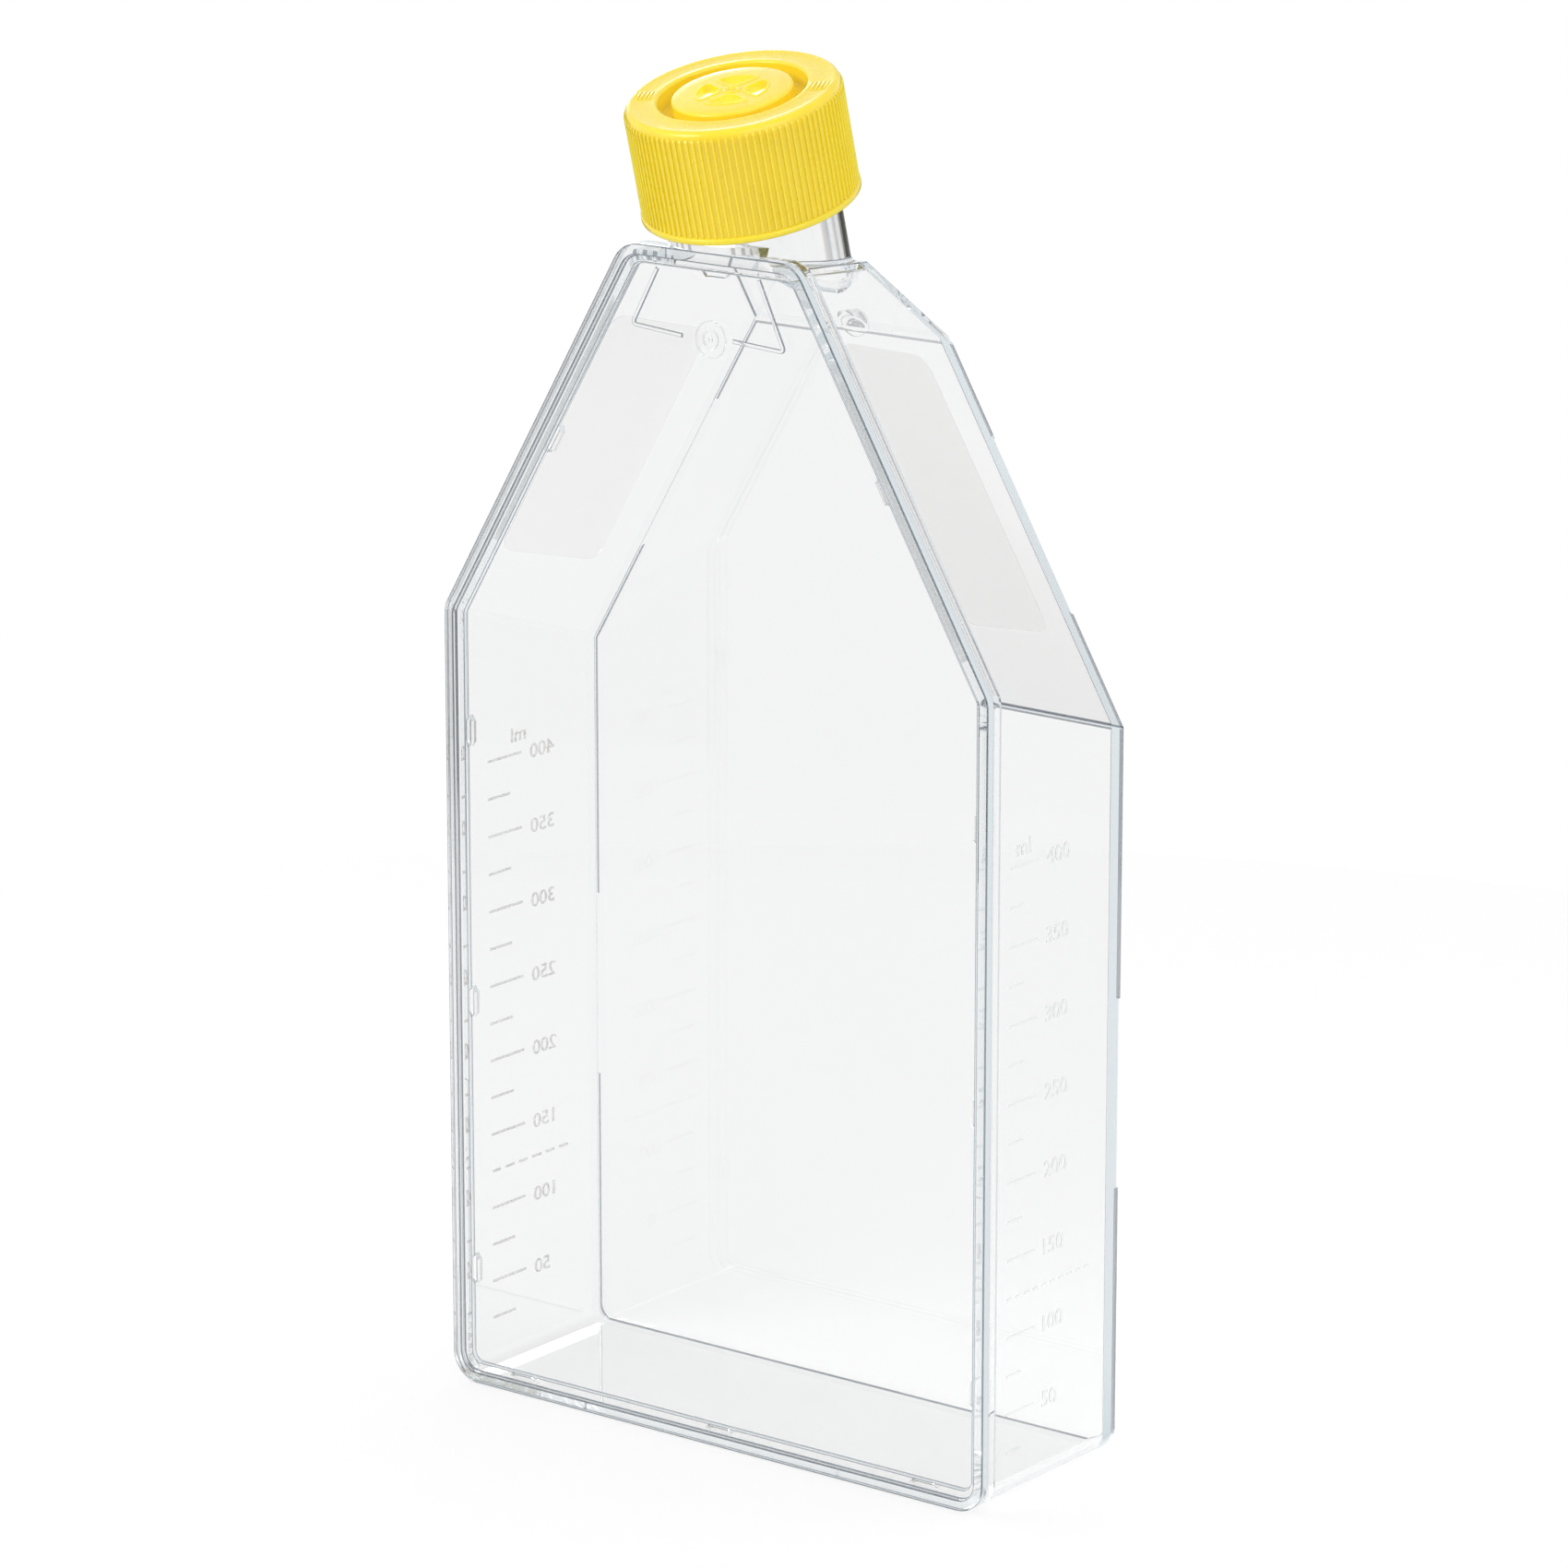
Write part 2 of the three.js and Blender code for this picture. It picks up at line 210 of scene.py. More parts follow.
def arc(cx, cz, radius, start, end, steps=5):
    """Points of a round corner in a profile, with angles in degrees."""
    turns = [math.radians(start + (end - start) * i / steps) for i in range(steps + 1)]
    return [(cx + radius * math.cos(a), cz + radius * math.sin(a)) for a in turns]


def placed(piece, matrix):
    piece.data.transform(matrix)
    return piece


def copy_of(piece, matrix):
    """A copy with its own mesh, moved or turned by the matrix."""
    other = piece.copy()
    other.data = piece.data.copy()
    bpy.context.collection.objects.link(other)
    return placed(other, matrix)


def copies(piece, matrices):
    """Copies of a piece that is modelled once. The piece itself goes."""
    others = [copy_of(piece, matrix) for matrix in matrices]
    bpy.data.objects.remove(piece)
    return others


def slice_off(piece, point, normal):
    """Cuts away what lies beyond a plane."""
    edit(piece)
    bpy.ops.mesh.select_all(action="SELECT")
    bpy.ops.mesh.bisect(
        plane_co=point, plane_no=normal, use_fill=True, clear_outer=True, threshold=1e-7
    )
    leave()


def round_edges(piece, test, width, segments=3):
    edit(piece)
    if pick(piece, "EDGE", test):
        bpy.ops.mesh.bevel(
            offset=width * MM, segments=segments, affect="EDGES", clamp_overlap=True
        )
    leave()


def sharp(edge, degrees=40):
    return len(edge.link_faces) == 2 and edge.calc_face_angle() > math.radians(degrees)


def along_y(edge):
    a, b = (v.co for v in edge.verts)
    return abs(a.x - b.x) < NEAR and abs(a.z - b.z) < NEAR


def at(edge, axis, value):
    return all(abs(v.co[axis] - value * MM) < NEAR for v in edge.verts)


def facing(face, x, y, z):
    return face.normal.dot(Vector((x, y, z))) > 0.99


def carve(piece, other, operation="DIFFERENCE"):
    use(piece)
    modifier = piece.modifiers.new("carve", "BOOLEAN")
    modifier.operation = operation
    modifier.solver = "EXACT"
    modifier.object = other
    bpy.ops.object.modifier_apply(modifier=modifier.name)
    bpy.data.objects.remove(other)
    return piece


def weld(piece, other):
    return carve(piece, other, "UNION")


def joined(name, pieces):
    """Several pieces as one object, as they are."""
    bpy.ops.object.select_all(action="DESELECT")
    for piece in pieces:
        piece.select_set(True)
    bpy.context.view_layer.objects.active = pieces[0]
    bpy.ops.object.join()
    pieces[0].name = name
    return pieces[0]


def tidy(piece, angle=30):
    """Joins doubled corners and shades round faces smooth and flat ones flat."""
    edit(piece)
    merge_doubles()
    leave()
    use(piece)
    bpy.ops.object.shade_smooth_by_angle(angle=math.radians(angle))
    modifier = piece.modifiers.new("flat faces", "WEIGHTED_NORMAL")
    modifier.mode = "FACE_AREA"
    modifier.weight = 100
    modifier.keep_sharp = True
    bpy.ops.object.modifier_apply(modifier=modifier.name)
    return piece


def mark_painted_edge_shade(piece, dark, pale):
    """Marks the narrow faces of rounded edges for painted shade: a dark colour goes into their
    skin, as edges look darker in clear plastic.

    The test dark adds faces, and the test pale spares some.
    """
    piece.data.attributes.new("painted_edge_shade", "FLOAT", "FACE")
    note = piece.data.attributes["painted_edge_shade"].data
    for face in piece.data.polygons:
        corners = [piece.data.vertices[i].co for i in face.vertices]
        longest = max((a - b).length for a, b in zip(corners, corners[1:] + corners[:1]))
        narrow = face.area < longest * NARROW * MM
        note[face.index].value = 1.0 if dark(face) or (narrow and not pale(face.center)) else 0.0
    return piece


# ---- Tub ---------------------------------------------------------------------
TUB_FRONT = SEAM - 2             # the form starts in front of the seam and is cut back to it
HOLLOW_FRONT = SEAM - 5
OUTER_ROUNDING = 0.2
INNER_ROUNDING = 0.25
FLANGE_ROUNDING = 0.3
FOOT_RADIUS = 0.96               # fillet where the neck meets its walls
FOOT_SINK = 0.7                  # how far the fillet reaches into the neck
RAMP_BARS = ((-18.6, -5.6), (7.6, 18.6))  # short bars beside the ramp's gate, from and to
GATE_REACH = 1.9                 # radius of the gate's hollow and the bead round it
# The moulding gate on the ramp: a disc with a bead round a hollow. Radius and depth.
GATE_PROFILE = [(0, GROWTH - 5.8), (2.9, GROWTH - 5.8), (2.9, GROWTH + 0.1), (2.8, GROWTH + 0.2)]
GATE_PROFILE += [(2.05, GROWTH + 0.2), (1.85, GROWTH + 0.5), (1.6, GROWTH + 0.58)]
GATE_PROFILE += [(1.35, GROWTH + 0.5), (1.1, GROWTH - 0.2), (0.6, GROWTH - 0.3)]
GATE_PROFILE += [(0.35, GROWTH + 0.1), (0, GROWTH + 0.15)]


def plane(a, b, c):
    a, b, c = mm(*a), mm(*b), mm(*c)
    return a, (b - a).cross(c - a).normalized()


def slanting_walls():
    """The outer planes of both shoulders, the neck-end wall and the ramp."""
    walls = []
    for side in (1, -1):
        low = (side * HALF_WIDTH, SEAM, BEND)
        high = (side * END_HALF_WIDTH, SEAM, END)
        back = (side * HALF_WIDTH, GROWTH, BEND - BEND_DROP)
        walls.append(plane(low, back, high) if side > 0 else plane(low, high, back))
    ramp_top = (0, RAMP_START, END - END_FALL)
    walls.append(plane((0, SEAM, END), (1, SEAM, END), ramp_top))
    walls.append(plane(ramp_top, (1, RAMP_START, END - END_FALL), (0, GROWTH, RAMP_FOOT)))
    return walls


def tub_form(name, inset, front, back, rounding, keep_sharp=()):
    """The tub's outer form, or its hollow when inset is the wall."""
    side = HALF_WIDTH - inset
    form = cuboid(name, (-side, front, inset), (side, back, END + WALL))
    for point, normal in slanting_walls():
        slice_off(form, point - normal * inset * MM, normal)
    corner = BASE_CORNER - inset
    if corner > 0:
        round_edges(form, lambda e: along_y(e) and at(e, 2, inset), corner, 8)
    if rounding:
        plain = lambda e: sharp(e, 18) and not any(at(e, 1, depth) for depth in keep_sharp)
        round_edges(form, plain, rounding, 3)
    return form


def outline_plate(name, margin, base, front, back):
    """A plate with the outline of the tub's open side, grown by margin, down to z = base."""
    side = HALF_WIDTH + margin
    top = END + margin
    bend = BEND + margin * (LEAN - SLOPE)
    plate = cuboid(name, (-side, front, base), (side, back, top))
    for way in (1, -1):
        slice_off(plate, mm(way * side, 0, bend), Vector((way * SLOPE, 0, 1)).normalized())
    corners = (
        (base, BASE_CORNER + margin, 8),
        (bend, (BEND_ROUNDING + margin) * BEND_SHARE, 4),
        (top, (TOP_ROUNDING + margin) * TOP_SHARE, 6),
    )
    for height, reach, segments in corners:
        round_edges(plate, lambda e: along_y(e) and at(e, 2, height), reach, segments)
    return plate


def free_the_ridge(tub):
    """Sinks the growth surface, so that only the stacking ridge stands along its edge."""
    reach = HALF_WIDTH + 5 * BEYOND
    carve(tub, tub_form("pocket", RIDGE_WIDTH, GROWTH, BACK + BEYOND, 0))
    across = (SIDE_GAP, SHOULDER_GAP, (RAMP_FOOT - RAMP_GAP, END))
    gaps = [(-reach, reach, *heights) for heights in across]
    for left, right in ((BASE_RIDGE, BASE_GAP), (-BASE_GAP, -BASE_RIDGE)):
        gaps.append((left, right, -WALL, BASE_CORNER))
    for x0, x1, z0, z1 in gaps:
        carve(tub, cuboid("gap", (x0, GROWTH, z0), (x1, BACK + BEYOND, z1)))


def gate_turn(height):
    """Turns a rod round Z to lie along Y at that height."""
    return Matrix.Translation(mm(0, 0, height)) @ Matrix.Rotation(math.radians(-90), 4, "X")


def neck_foot():
    """A small hollow fillet round the neck. It follows the walls that the neck stands on."""
    inner, middle = NECK_RADIUS - FOOT_SINK, NECK_RADIUS + FOOT_RADIUS
    steps = [(inner, -0.6), (middle, -0.6)]
    steps += arc(middle, FOOT_RADIUS, 1, 270, 180, 4) + [(inner, FOOT_RADIUS)]
    foot = spun("neck_foot", steps, NECK_SIDES)
    axis = NECK_FRAME.to_3x3() @ Vector((0, 0, 1))
    for corner in foot.data.vertices:
        start = NECK_FRAME @ Vector((corner.co.x, corner.co.y, 0))
        reach = min((p - start).dot(n) / axis.dot(n) for p, n in slanting_walls())
        corner.co = start + axis * (reach + corner.co.z)
    ledge = cuboid("ledge", (-FAR_OUT, -FAR_OUT, 0), (FAR_OUT, FLANGE_BACK - 0.4, END + 40))
    return carve(foot, ledge)


def beside_ridge(face):
    """The inner sides of the stacking ridge."""
    between = (GROWTH + 0.05) * MM < face.center.y < (BACK - 0.05) * MM
    inward = face.normal.dot(mm(0, face.center.y / MM, 100) - face.center) > 0
    return between and inward and abs(face.normal.y) < 0.3


def faint_edge(place):
    """The left side's edges, apart from those by the lid, and the crease at the ramp's foot. They
    are spared the painted edge shade.
    """
    left = place.x < -20 * MM and place.y > -14 * MM
    crease = abs(place.z / MM - RAMP_FOOT) < 2.5 and abs(place.y / MM - GROWTH + WALL) < 0.5
    return left or crease


def in_gate(place):
    """The gate's hollow and the bead round it."""
    radius = (place - mm(0, place.y / MM, RAMP_FOOT)).length / MM
    return place.y > (GROWTH - 0.4) * MM and radius < GATE_REACH


def make_tub():
    """The form, the flange and the neck all start in front of the seam and are cut back to it."""
    tub = tub_form("tub_shell", 0, TUB_FRONT, BACK, OUTER_ROUNDING, keep_sharp=(TUB_FRONT,))
    free_the_ridge(tub)
    weld(tub, placed(rod("neck", NECK_RADIUS, -NECK_STUB, NECK_LIP, NECK_SIDES), NECK_FRAME))
    flange = outline_plate("flange", OVERHANG, 0.02, SEAM - 3, FLANGE_BACK)
    round_edges(flange, lambda e: sharp(e, 40) and at(e, 1, FLANGE_BACK), FLANGE_ROUNDING, 2)
    weld(tub, flange)
    carve(tub, cuboid("lid_space", (-80, -FAR_OUT, -5), (80, SEAM, END + OVERHANG + 0.3)))
    weld(tub, neck_foot())
    for left, right in RAMP_BARS:
        low, high = (left, GROWTH - 0.3, RAMP_FOOT - 1.25), (right, BACK - 0.03, RAMP_FOOT - 0.15)
        weld(tub, cuboid("ridge", low, high))
    weld(tub, placed(spun("gate", GATE_PROFILE, 48), gate_turn(RAMP_FOOT)))
    hollow_back = GROWTH - WALL
    carve(tub, tub_form("hollow", WALL, HOLLOW_FRONT, hollow_back, INNER_ROUNDING, (HOLLOW_FRONT,)))
    bore = placed(rod("bore", BORE_RADIUS, -NECK_STUB, NECK_LIP + 2, NECK_SIDES), NECK_FRAME)
    ledge_top = END + OVERHANG + 1.5
    carve(bore, cuboid("ledge", (-FAR_OUT, -FAR_OUT, 0), (FAR_OUT, FLANGE_BACK, ledge_top)))
    carve(tub, bore)
    # Painted edge shade goes on narrow faces, the gate and the ridge's inner sides, apart from
    # faint edges.
    return mark_painted_edge_shade(tidy(tub), lambda f: in_gate(f.center) or beside_ridge(f), faint_edge)


# ---- Lid ---------------------------------------------------------------------
LID_FACE = FRONT + RECESS        # front of the panel inside the rim
LID_ROUNDING = 0.22
LID_GATE = 190.6                 # height of the moulding gate
GATE_RINGS = ((2.95, 3.2), (1.35, 1.7), (0, 0.5))  # inner and outer radius
GATE_NEARBY = 3.4                # its edges get no painted edge shade
BEAD_HEIGHT = 0.16
BUTTON_HEIGHT = 0.2
TAB = 5.6                        # length of a locating tab
TAB_THICKNESS = 0.9
TAB_BACK = PANEL_BACK + 1.2
TAB_PLAY = 0.3                   # to the wall that the tab locates
BASE_TABS = (-43.3, 0, 43.3)
SIDE_TABS = (20, 68.3, 116.3)
SHOULDER_TAB = 31.5              # rise from the bend
LINE_WIDTH = 0.7                 # of the raised frame on the lid
LINE_HEIGHT = 0.3
LINE_BEND = 0.9
RAISED_LINES = (
    [(-11, 201.2), (-16.3, 191.4), (-5.8, 190.6)],
    [(4.7, 190.8), (15.3, 190.2), (10, 201.5)],
)


def bead(name, inner, outer, face):
    """A low round-topped ring, or a button where the inner radius is 0. It stands towards -Z."""
    middle, half = (inner + outer) / 2, (outer - inner) / 2
    if inner:
        turns = steps_between(0, math.pi, 6)
        crown = [(middle + half * math.cos(a), -BEAD_HEIGHT * math.sin(a)) for a in turns]
    else:
        turns = steps_between(0, math.pi / 2, 4)
        crown = [(outer * math.cos(a), -BUTTON_HEIGHT * math.sin(a)) for a in turns]
    profile = [(outer, 0.3)] + crown + [(inner, 0.3)]
    return spun(name, [(max(radius, 0), face + drop) for radius, drop in profile], 48)


def locating_tab():
    """It stands on the lid's inner face, its long side along the wall that it locates."""
    tab = cuboid("tab", (-TAB / 2, PANEL_BACK - 0.5, 0), (TAB / 2, TAB_BACK, TAB_THICKNESS))
    ends = lambda e: along_y(e) and at(e, 2, TAB_THICKNESS)
    round_edges(tab, ends, TAB_THICKNESS, 1)
    round_edges(tab, lambda e: at(e, 1, TAB_BACK), 0.15, 2)
    return tab


def tab_places():
    """Three on the base, three on each side wall, one on each shoulder and one on the end wall."""
    inset = WALL + TAB_PLAY
    side = HALF_WIDTH - inset
    spots = [(x, inset, 0) for x in BASE_TABS]
    for z in SIDE_TABS:
        spots += [(side, z, math.pi / 2), (-side, z, -math.pi / 2)]
    fall = BEND_DROP * (TAB_BACK - SEAM) / (GROWTH - SEAM)
    x = HALF_WIDTH - (SHOULDER_TAB + fall + inset * LEAN) / SLOPE
    tilt = math.atan(SLOPE)
    spots += [(x, BEND + SHOULDER_TAB, math.pi - tilt), (-x, BEND + SHOULDER_TAB, math.pi + tilt)]
    end_fall = END_FALL * (TAB_BACK - SEAM) / (RAMP_START - SEAM)
    spots.append((0, END - inset - end_fall, math.pi))
    return [
        Matrix.Translation(mm(x, 0, z)) @ Matrix.Rotation(-turn, 4, "Y") for x, z, turn in spots
    ]


def raised_line(path):
    """A low flat-topped line on the lid's front, with rounded bends."""
    start = LID_FACE - LINE_HEIGHT
    line = outline("line", [mm(x, start, z) for x, z in path], closed=False)
    edit(line)
    pick(line, "VERT", lambda v: len(v.link_edges) == 2)
    bpy.ops.mesh.bevel(offset=LINE_BEND * MM, segments=4, affect="VERTICES")
    bpy.ops.mesh.select_all(action="SELECT")
    bpy.ops.mesh.extrude_region_move(
        TRANSFORM_OT_translate={"value": mm(0, 2 * LINE_HEIGHT, 0)}
    )
    face_outwards()
    leave()
    use(line)
    wall = line.modifiers.new("wall", "SOLIDIFY")
    wall.thickness = LINE_WIDTH * MM
    wall.offset = 0
    wall.use_even_offset = True
    bpy.ops.object.modifier_apply(modifier=wall.name)
    edit(line)
    face_outwards()
    leave()
    round_edges(line, lambda e: at(e, 1, start) and sharp(e, 50), 0.12, 2)
    return line


def in_lid_gate(place):
    return (place - mm(0, place.y / MM, LID_GATE)).length < GATE_NEARBY * MM


def make_lid():
    """A plate whose front is sunk inside the rim and whose back stands out as a plug."""
    lid = outline_plate("lid_panel", OVERHANG, 0, FRONT, FRONT + RIM_DEPTH)
    edit(lid)
    pick(lid, "FACE", lambda f: facing(f, 0, -1, 0))
    bpy.ops.mesh.inset(thickness=RIM_WIDTH * MM, use_even_offset=True)
    bpy.ops.mesh.extrude_region_move(TRANSFORM_OT_translate={"value": mm(0, RECESS, 0)})
    behind = lambda f: facing(f, 0, 1, 0) and f.calc_center_median().y > (FRONT + 1.5) * MM
    pick(lid, "FACE", behind)
    bpy.ops.mesh.inset(thickness=(OVERHANG + PLUG_GAP) * MM, use_even_offset=True)
    plug = mm(0, PANEL_BACK - FRONT - RIM_DEPTH, 0)
    bpy.ops.mesh.extrude_region_move(TRANSFORM_OT_translate={"value": plug})
    leave()
    round_edges(lid, lambda e: sharp(e, 60), LID_ROUNDING, 2)
    for low, high in GATE_RINGS:
        weld(lid, placed(bead("gate_ring", low, high, LID_FACE), gate_turn(LID_GATE)))
    for tab in copies(locating_tab(), tab_places()):
        weld(lid, tab)
    for path in RAISED_LINES:
        weld(lid, raised_line(path))
    # Painted edge shade goes on narrow faces, apart from those round the gate.
    return mark_painted_edge_shade(tidy(lid), lambda f: False, in_lid_gate)


# ---- Volume marks, numbers and frosted fields --------------------------------
MARK_PITCH = 6.69                # rise of the liquid for 25 ml
MARK_COUNT = 16
FILLING_MARK = 5                 # the dashed line
MARK_WIDTH = 0.45
MARK_SINK = 0.1                  # how far marks reach into the wall
MARK_ROUNDING = 0.05
MARK_HEIGHT = {1: 0.08, -1: 0.15}  # the right side is clear and low, the left side matt
LETTER_SIZE = 10.0
LETTER_HEIGHT = 7.0              # of a number at that size
# For the right side, 1, and the left side, -1. Ticks: start, long, short and lift of the line.
MARK_TICKS = {1: (-11.7, 7.7, 3.9, 0.0), -1: (-10.55, 8.9, 5.9, 0.62)}
# Dashes of the filling line: their number, the length of one and the length of the line.
FILLING_DASHES = {1: (10, 1.25, 23.2), -1: (6, 2.3, 20.6)}
# Numbers: end towards the lid, drop below the tick, height and stretch.
NUMBERS = {1: (-1.55, 0.0, 2.8, 1.1), -1: (0.8, -0.33, 2.55, 1.21)}
UNIT = {1: (-10.0, 112.0), -1: (-4.2, 112.9)}
# Turns a drawing in X and Y to lie on a narrow wall, so that it reads properly from outside.
WALL_TURN = {
    1: Matrix(((0, 0, 1, 0), (1, 0, 0, 0), (0, 1, 0, 0), (0, 0, 0, 1))),
    -1: Matrix(((0, 0, -1, 0), (-1, 0, 0, 0), (0, 1, 0, 0), (0, 0, 0, 1))),
}
SIDE_NAME = {1: "right", -1: "left"}
# Corners of the right shoulder's writing field.
FIELD_CORNERS = ((24.5, -14.8, 193.0), (23.0, 9.2, 186.4), (48.1, 9.9, 143.2), (49.3, -14.8, 149.5))
FIELD_ROUNDING = 3
FIELD_SINK = 0.02
FIELD_THICKNESS = 0.1


def raised_bar(side, length):
    """A bar on a narrow wall, which starts at Y = 0 and has its middle at Z = 0."""
    inner, outer = side * (HALF_WIDTH - MARK_SINK), side * (HALF_WIDTH + MARK_HEIGHT[side])
    half = MARK_WIDTH / 2
    bar = cuboid("mark", (min(inner, outer), 0, -half), (max(inner, outer), length, half))
    round_edges(bar, lambda e: at(e, 0, outer), MARK_ROUNDING, 2)
    return bar


def raised_word(side, word, near, level, height, stretch):
    """A number or unit whose middle is at level. Its end towards the lid is at near."""
    bpy.ops.object.select_all(action="DESELECT")
    bpy.ops.object.text_add()
    letters = bpy.context.object
    letters.data.body = word
    letters.data.size = LETTER_SIZE * MM
    letters.data.extrude = (MARK_HEIGHT[side] + MARK_SINK) / 2 * MM
    letters.data.resolution_u = 4
    bpy.ops.object.convert(target="MESH")
    letters = newest("word")
    xs = [v.co.x for v in letters.data.vertices]
    left, right = min(xs), max(xs)
    grow = height / LETTER_HEIGHT
    middle = Matrix.Translation(Vector((-left, -LETTER_HEIGHT / 2 * MM, 0)))
    placed(letters, Matrix.Diagonal((grow * stretch, grow, 1, 1)) @ middle)
    width = (right - left) * grow * stretch
    out = (HALF_WIDTH + (MARK_HEIGHT[side] - MARK_SINK) / 2) * MM
    start = near * MM if side > 0 else -(near * MM + width)
    return placed(letters, WALL_TURN[side] @ Matrix.Translation(Vector((start, level * MM, out))))


def make_marks(side):
    """Ticks for every 25 ml, numbers for every 50, and a dashed line for the usual filling."""
    start, long, short, lift = MARK_TICKS[side]
    dashes, dash, reach = FILLING_DASHES[side]
    near, drop, height, stretch = NUMBERS[side]
    pitch = (reach - dash) / (dashes - 1)
    bars = {length: raised_bar(side, length) for length in (long, short, dash)}
    marks = []
    for count in range(1, MARK_COUNT + 1):
        length, starts = (short if count % 2 else long), [start]
        if count == FILLING_MARK:
            length, starts = dash, [start + i * pitch for i in range(dashes)]
        level = WALL + lift + count * MARK_PITCH
        marks += [copy_of(bars[length], Matrix.Translation(mm(0, y, level))) for y in starts]
    for bar in bars.values():
        bpy.data.objects.remove(bar)
    for count in range(2, MARK_COUNT + 1, 2):
        level = WALL + count * MARK_PITCH - drop
        marks.append(raised_word(side, str(25 * count), near, level, height, stretch))
    unit_at, unit_level = UNIT[side]
    marks.append(raised_word(side, "ml", unit_at, unit_level, height, stretch))
    return joined("volume_marks_" + SIDE_NAME[side], marks)


def frosted_field(side):
    """A thin matt field on a shoulder, with round corners, for writing on."""
    point, normal = slanting_walls()[0 if side > 0 else 1]
    places = []
    for x, y, z in FIELD_CORNERS:
        place = mm(side * x, y, z)
        places.append(place - normal * (place - point).dot(normal) - normal * FIELD_SINK * MM)
    field = outline("frosted_field_" + SIDE_NAME[side], places)
    edit(field)
    bpy.ops.mesh.select_all(action="SELECT")
    bpy.ops.mesh.bevel(offset=FIELD_ROUNDING * MM, segments=6, affect="VERTICES")
    raise_outline(normal * FIELD_THICKNESS * MM)
    leave()
    return field


# ---- Neck thread and screw cap -----------------------------------------------
THREAD_PITCH = 3.6
THREAD_TURNS = 1.5
THREAD_START = 12.5
# Half profile of the ridge: radius and height.
THREAD_PROFILE = (
    (14.4, -0.9), (14.6, -0.9), (15.45, -0.3), (15.45, 0.3), (14.6, 0.9), (14.4, 0.9),
)
CAP_HEIGHT = 19.45
CAP_BORE = 15.9
SKIRT = 17.75                    # radius between the ribs
LIP = 18.25
RIBS = 100
RIB_HEIGHT = 0.34
RIB_SLOPE = 0.45                 # how much lower a rib's crest ends
RIB_ROUNDING = 0.14
PLUG = 13.0
GROOVE_OUT = 12.4                # the groove's outer radius
GROOVE_DEPTH = 2.9
DISC = 10.1                      # the disc inside the groove
DISC_HOLLOW = 9.1
DISC_ROOF = 1.4
CAP_ROOF = 1.6
CAP_CROWN = 1.0                  # rounding between skirt and top
PLUG_DEPTH = 4.5
WINDOWS = 4
WINDOW_INNER, WINDOW_OUTER = 2.3, 5.9
HALF_SPOKE = 0.95                # of the bars between the windows
WINDOW_ROUNDING = 0.8
WINDOW_TURN = math.radians(70)
WINDOW_RIM = 0.32                # width of the raised rim round a window
RIM_LOW, RIM_HIGH = -0.3, 0.2    # from the cap's top
CUT_LOW, CUT_HIGH = -1.7, 1.3
BARS = 6
BAR_RADIUS = 14.92
BAR_PITCH = 0.72
BAR_TURNS = (22, 202)            # degrees


def helix(name, profile, start, turns):
    """A ridge that winds round Z. The profile is [radius, height] points."""
    ridge = outline(name, [mm(radius, 0, start + height) for radius, height in profile])
    use(ridge)
    screw = ridge.modifiers.new("thread", "SCREW")
    screw.angle = turns * 2 * math.pi
    screw.screw_offset = turns * THREAD_PITCH * MM
    screw.steps = screw.render_steps = int(96 * turns)
    screw.use_normal_calculate = True
    bpy.ops.object.modifier_apply(modifier=screw.name)
    edit(ridge)
    merge_doubles()
    bpy.ops.mesh.fill_holes(sides=0)
    face_outwards()
    leave()
    return ridge


def make_neck_thread():
    thread = helix("neck_thread", THREAD_PROFILE, THREAD_START, THREAD_TURNS)
    return tidy(placed(thread, NECK_FRAME))


def cap_profile():
    """The cap's half section as [radius, height] points, from the lip over the top and inside."""
    top = CAP_HEIGHT
    outer, inner = GROOVE_OUT, DISC
    points = [(CAP_BORE, 0.25), (CAP_BORE + 0.25, 0)]
    points += arc(LIP - 0.3, 0.3, 0.3, -90, 0, 3) + arc(LIP - 0.3, 0.75, 0.3, 0, 60, 3)
    points += [(SKIRT, 1.25), (SKIRT, top - 1.75)]
    points += arc(SKIRT - CAP_CROWN, top - CAP_CROWN, CAP_CROWN, 0, 100, 8)
    points += [(SKIRT - 1.6, top - 0.08), (SKIRT - 2.2, top - 0.14)]
    points += [(outer + 1.6, top - 0.14), (outer + 1.0, top - 0.08)]
    points += arc(outer + 0.5, top - 0.5, 0.5, 80, 180, 6)
    points += arc(outer - 0.35, top - GROOVE_DEPTH, 0.35, 0, -90, 3)
    points += arc(inner + 0.35, top - GROOVE_DEPTH, 0.35, 270, 180, 3)
    points += arc(inner - 0.5, top - 0.5, 0.5, 0, 80, 6)
    points += [(7.5, top + 0.05), (5.0, top + 0.06), (1.6, top + 0.06)]
    points += [(1.4, top + 0.28), (1.15, top + 0.34), (0.9, top + 0.26), (0.7, top + 0.08)]
    points += [(0.45, top + 0.1), (0.25, top + 0.3), (0, top + 0.34)]
    points += [(0, top - DISC_ROOF), (DISC_HOLLOW, top - DISC_ROOF)]
    points += [(DISC_HOLLOW, top - PLUG_DEPTH), (PLUG, top - PLUG_DEPTH)]
    points += [(PLUG, top - CAP_ROOF), (CAP_BORE, top - CAP_ROOF)]
    return points


def cap_radius(point):
    return math.hypot(point.x, point.y) / MM


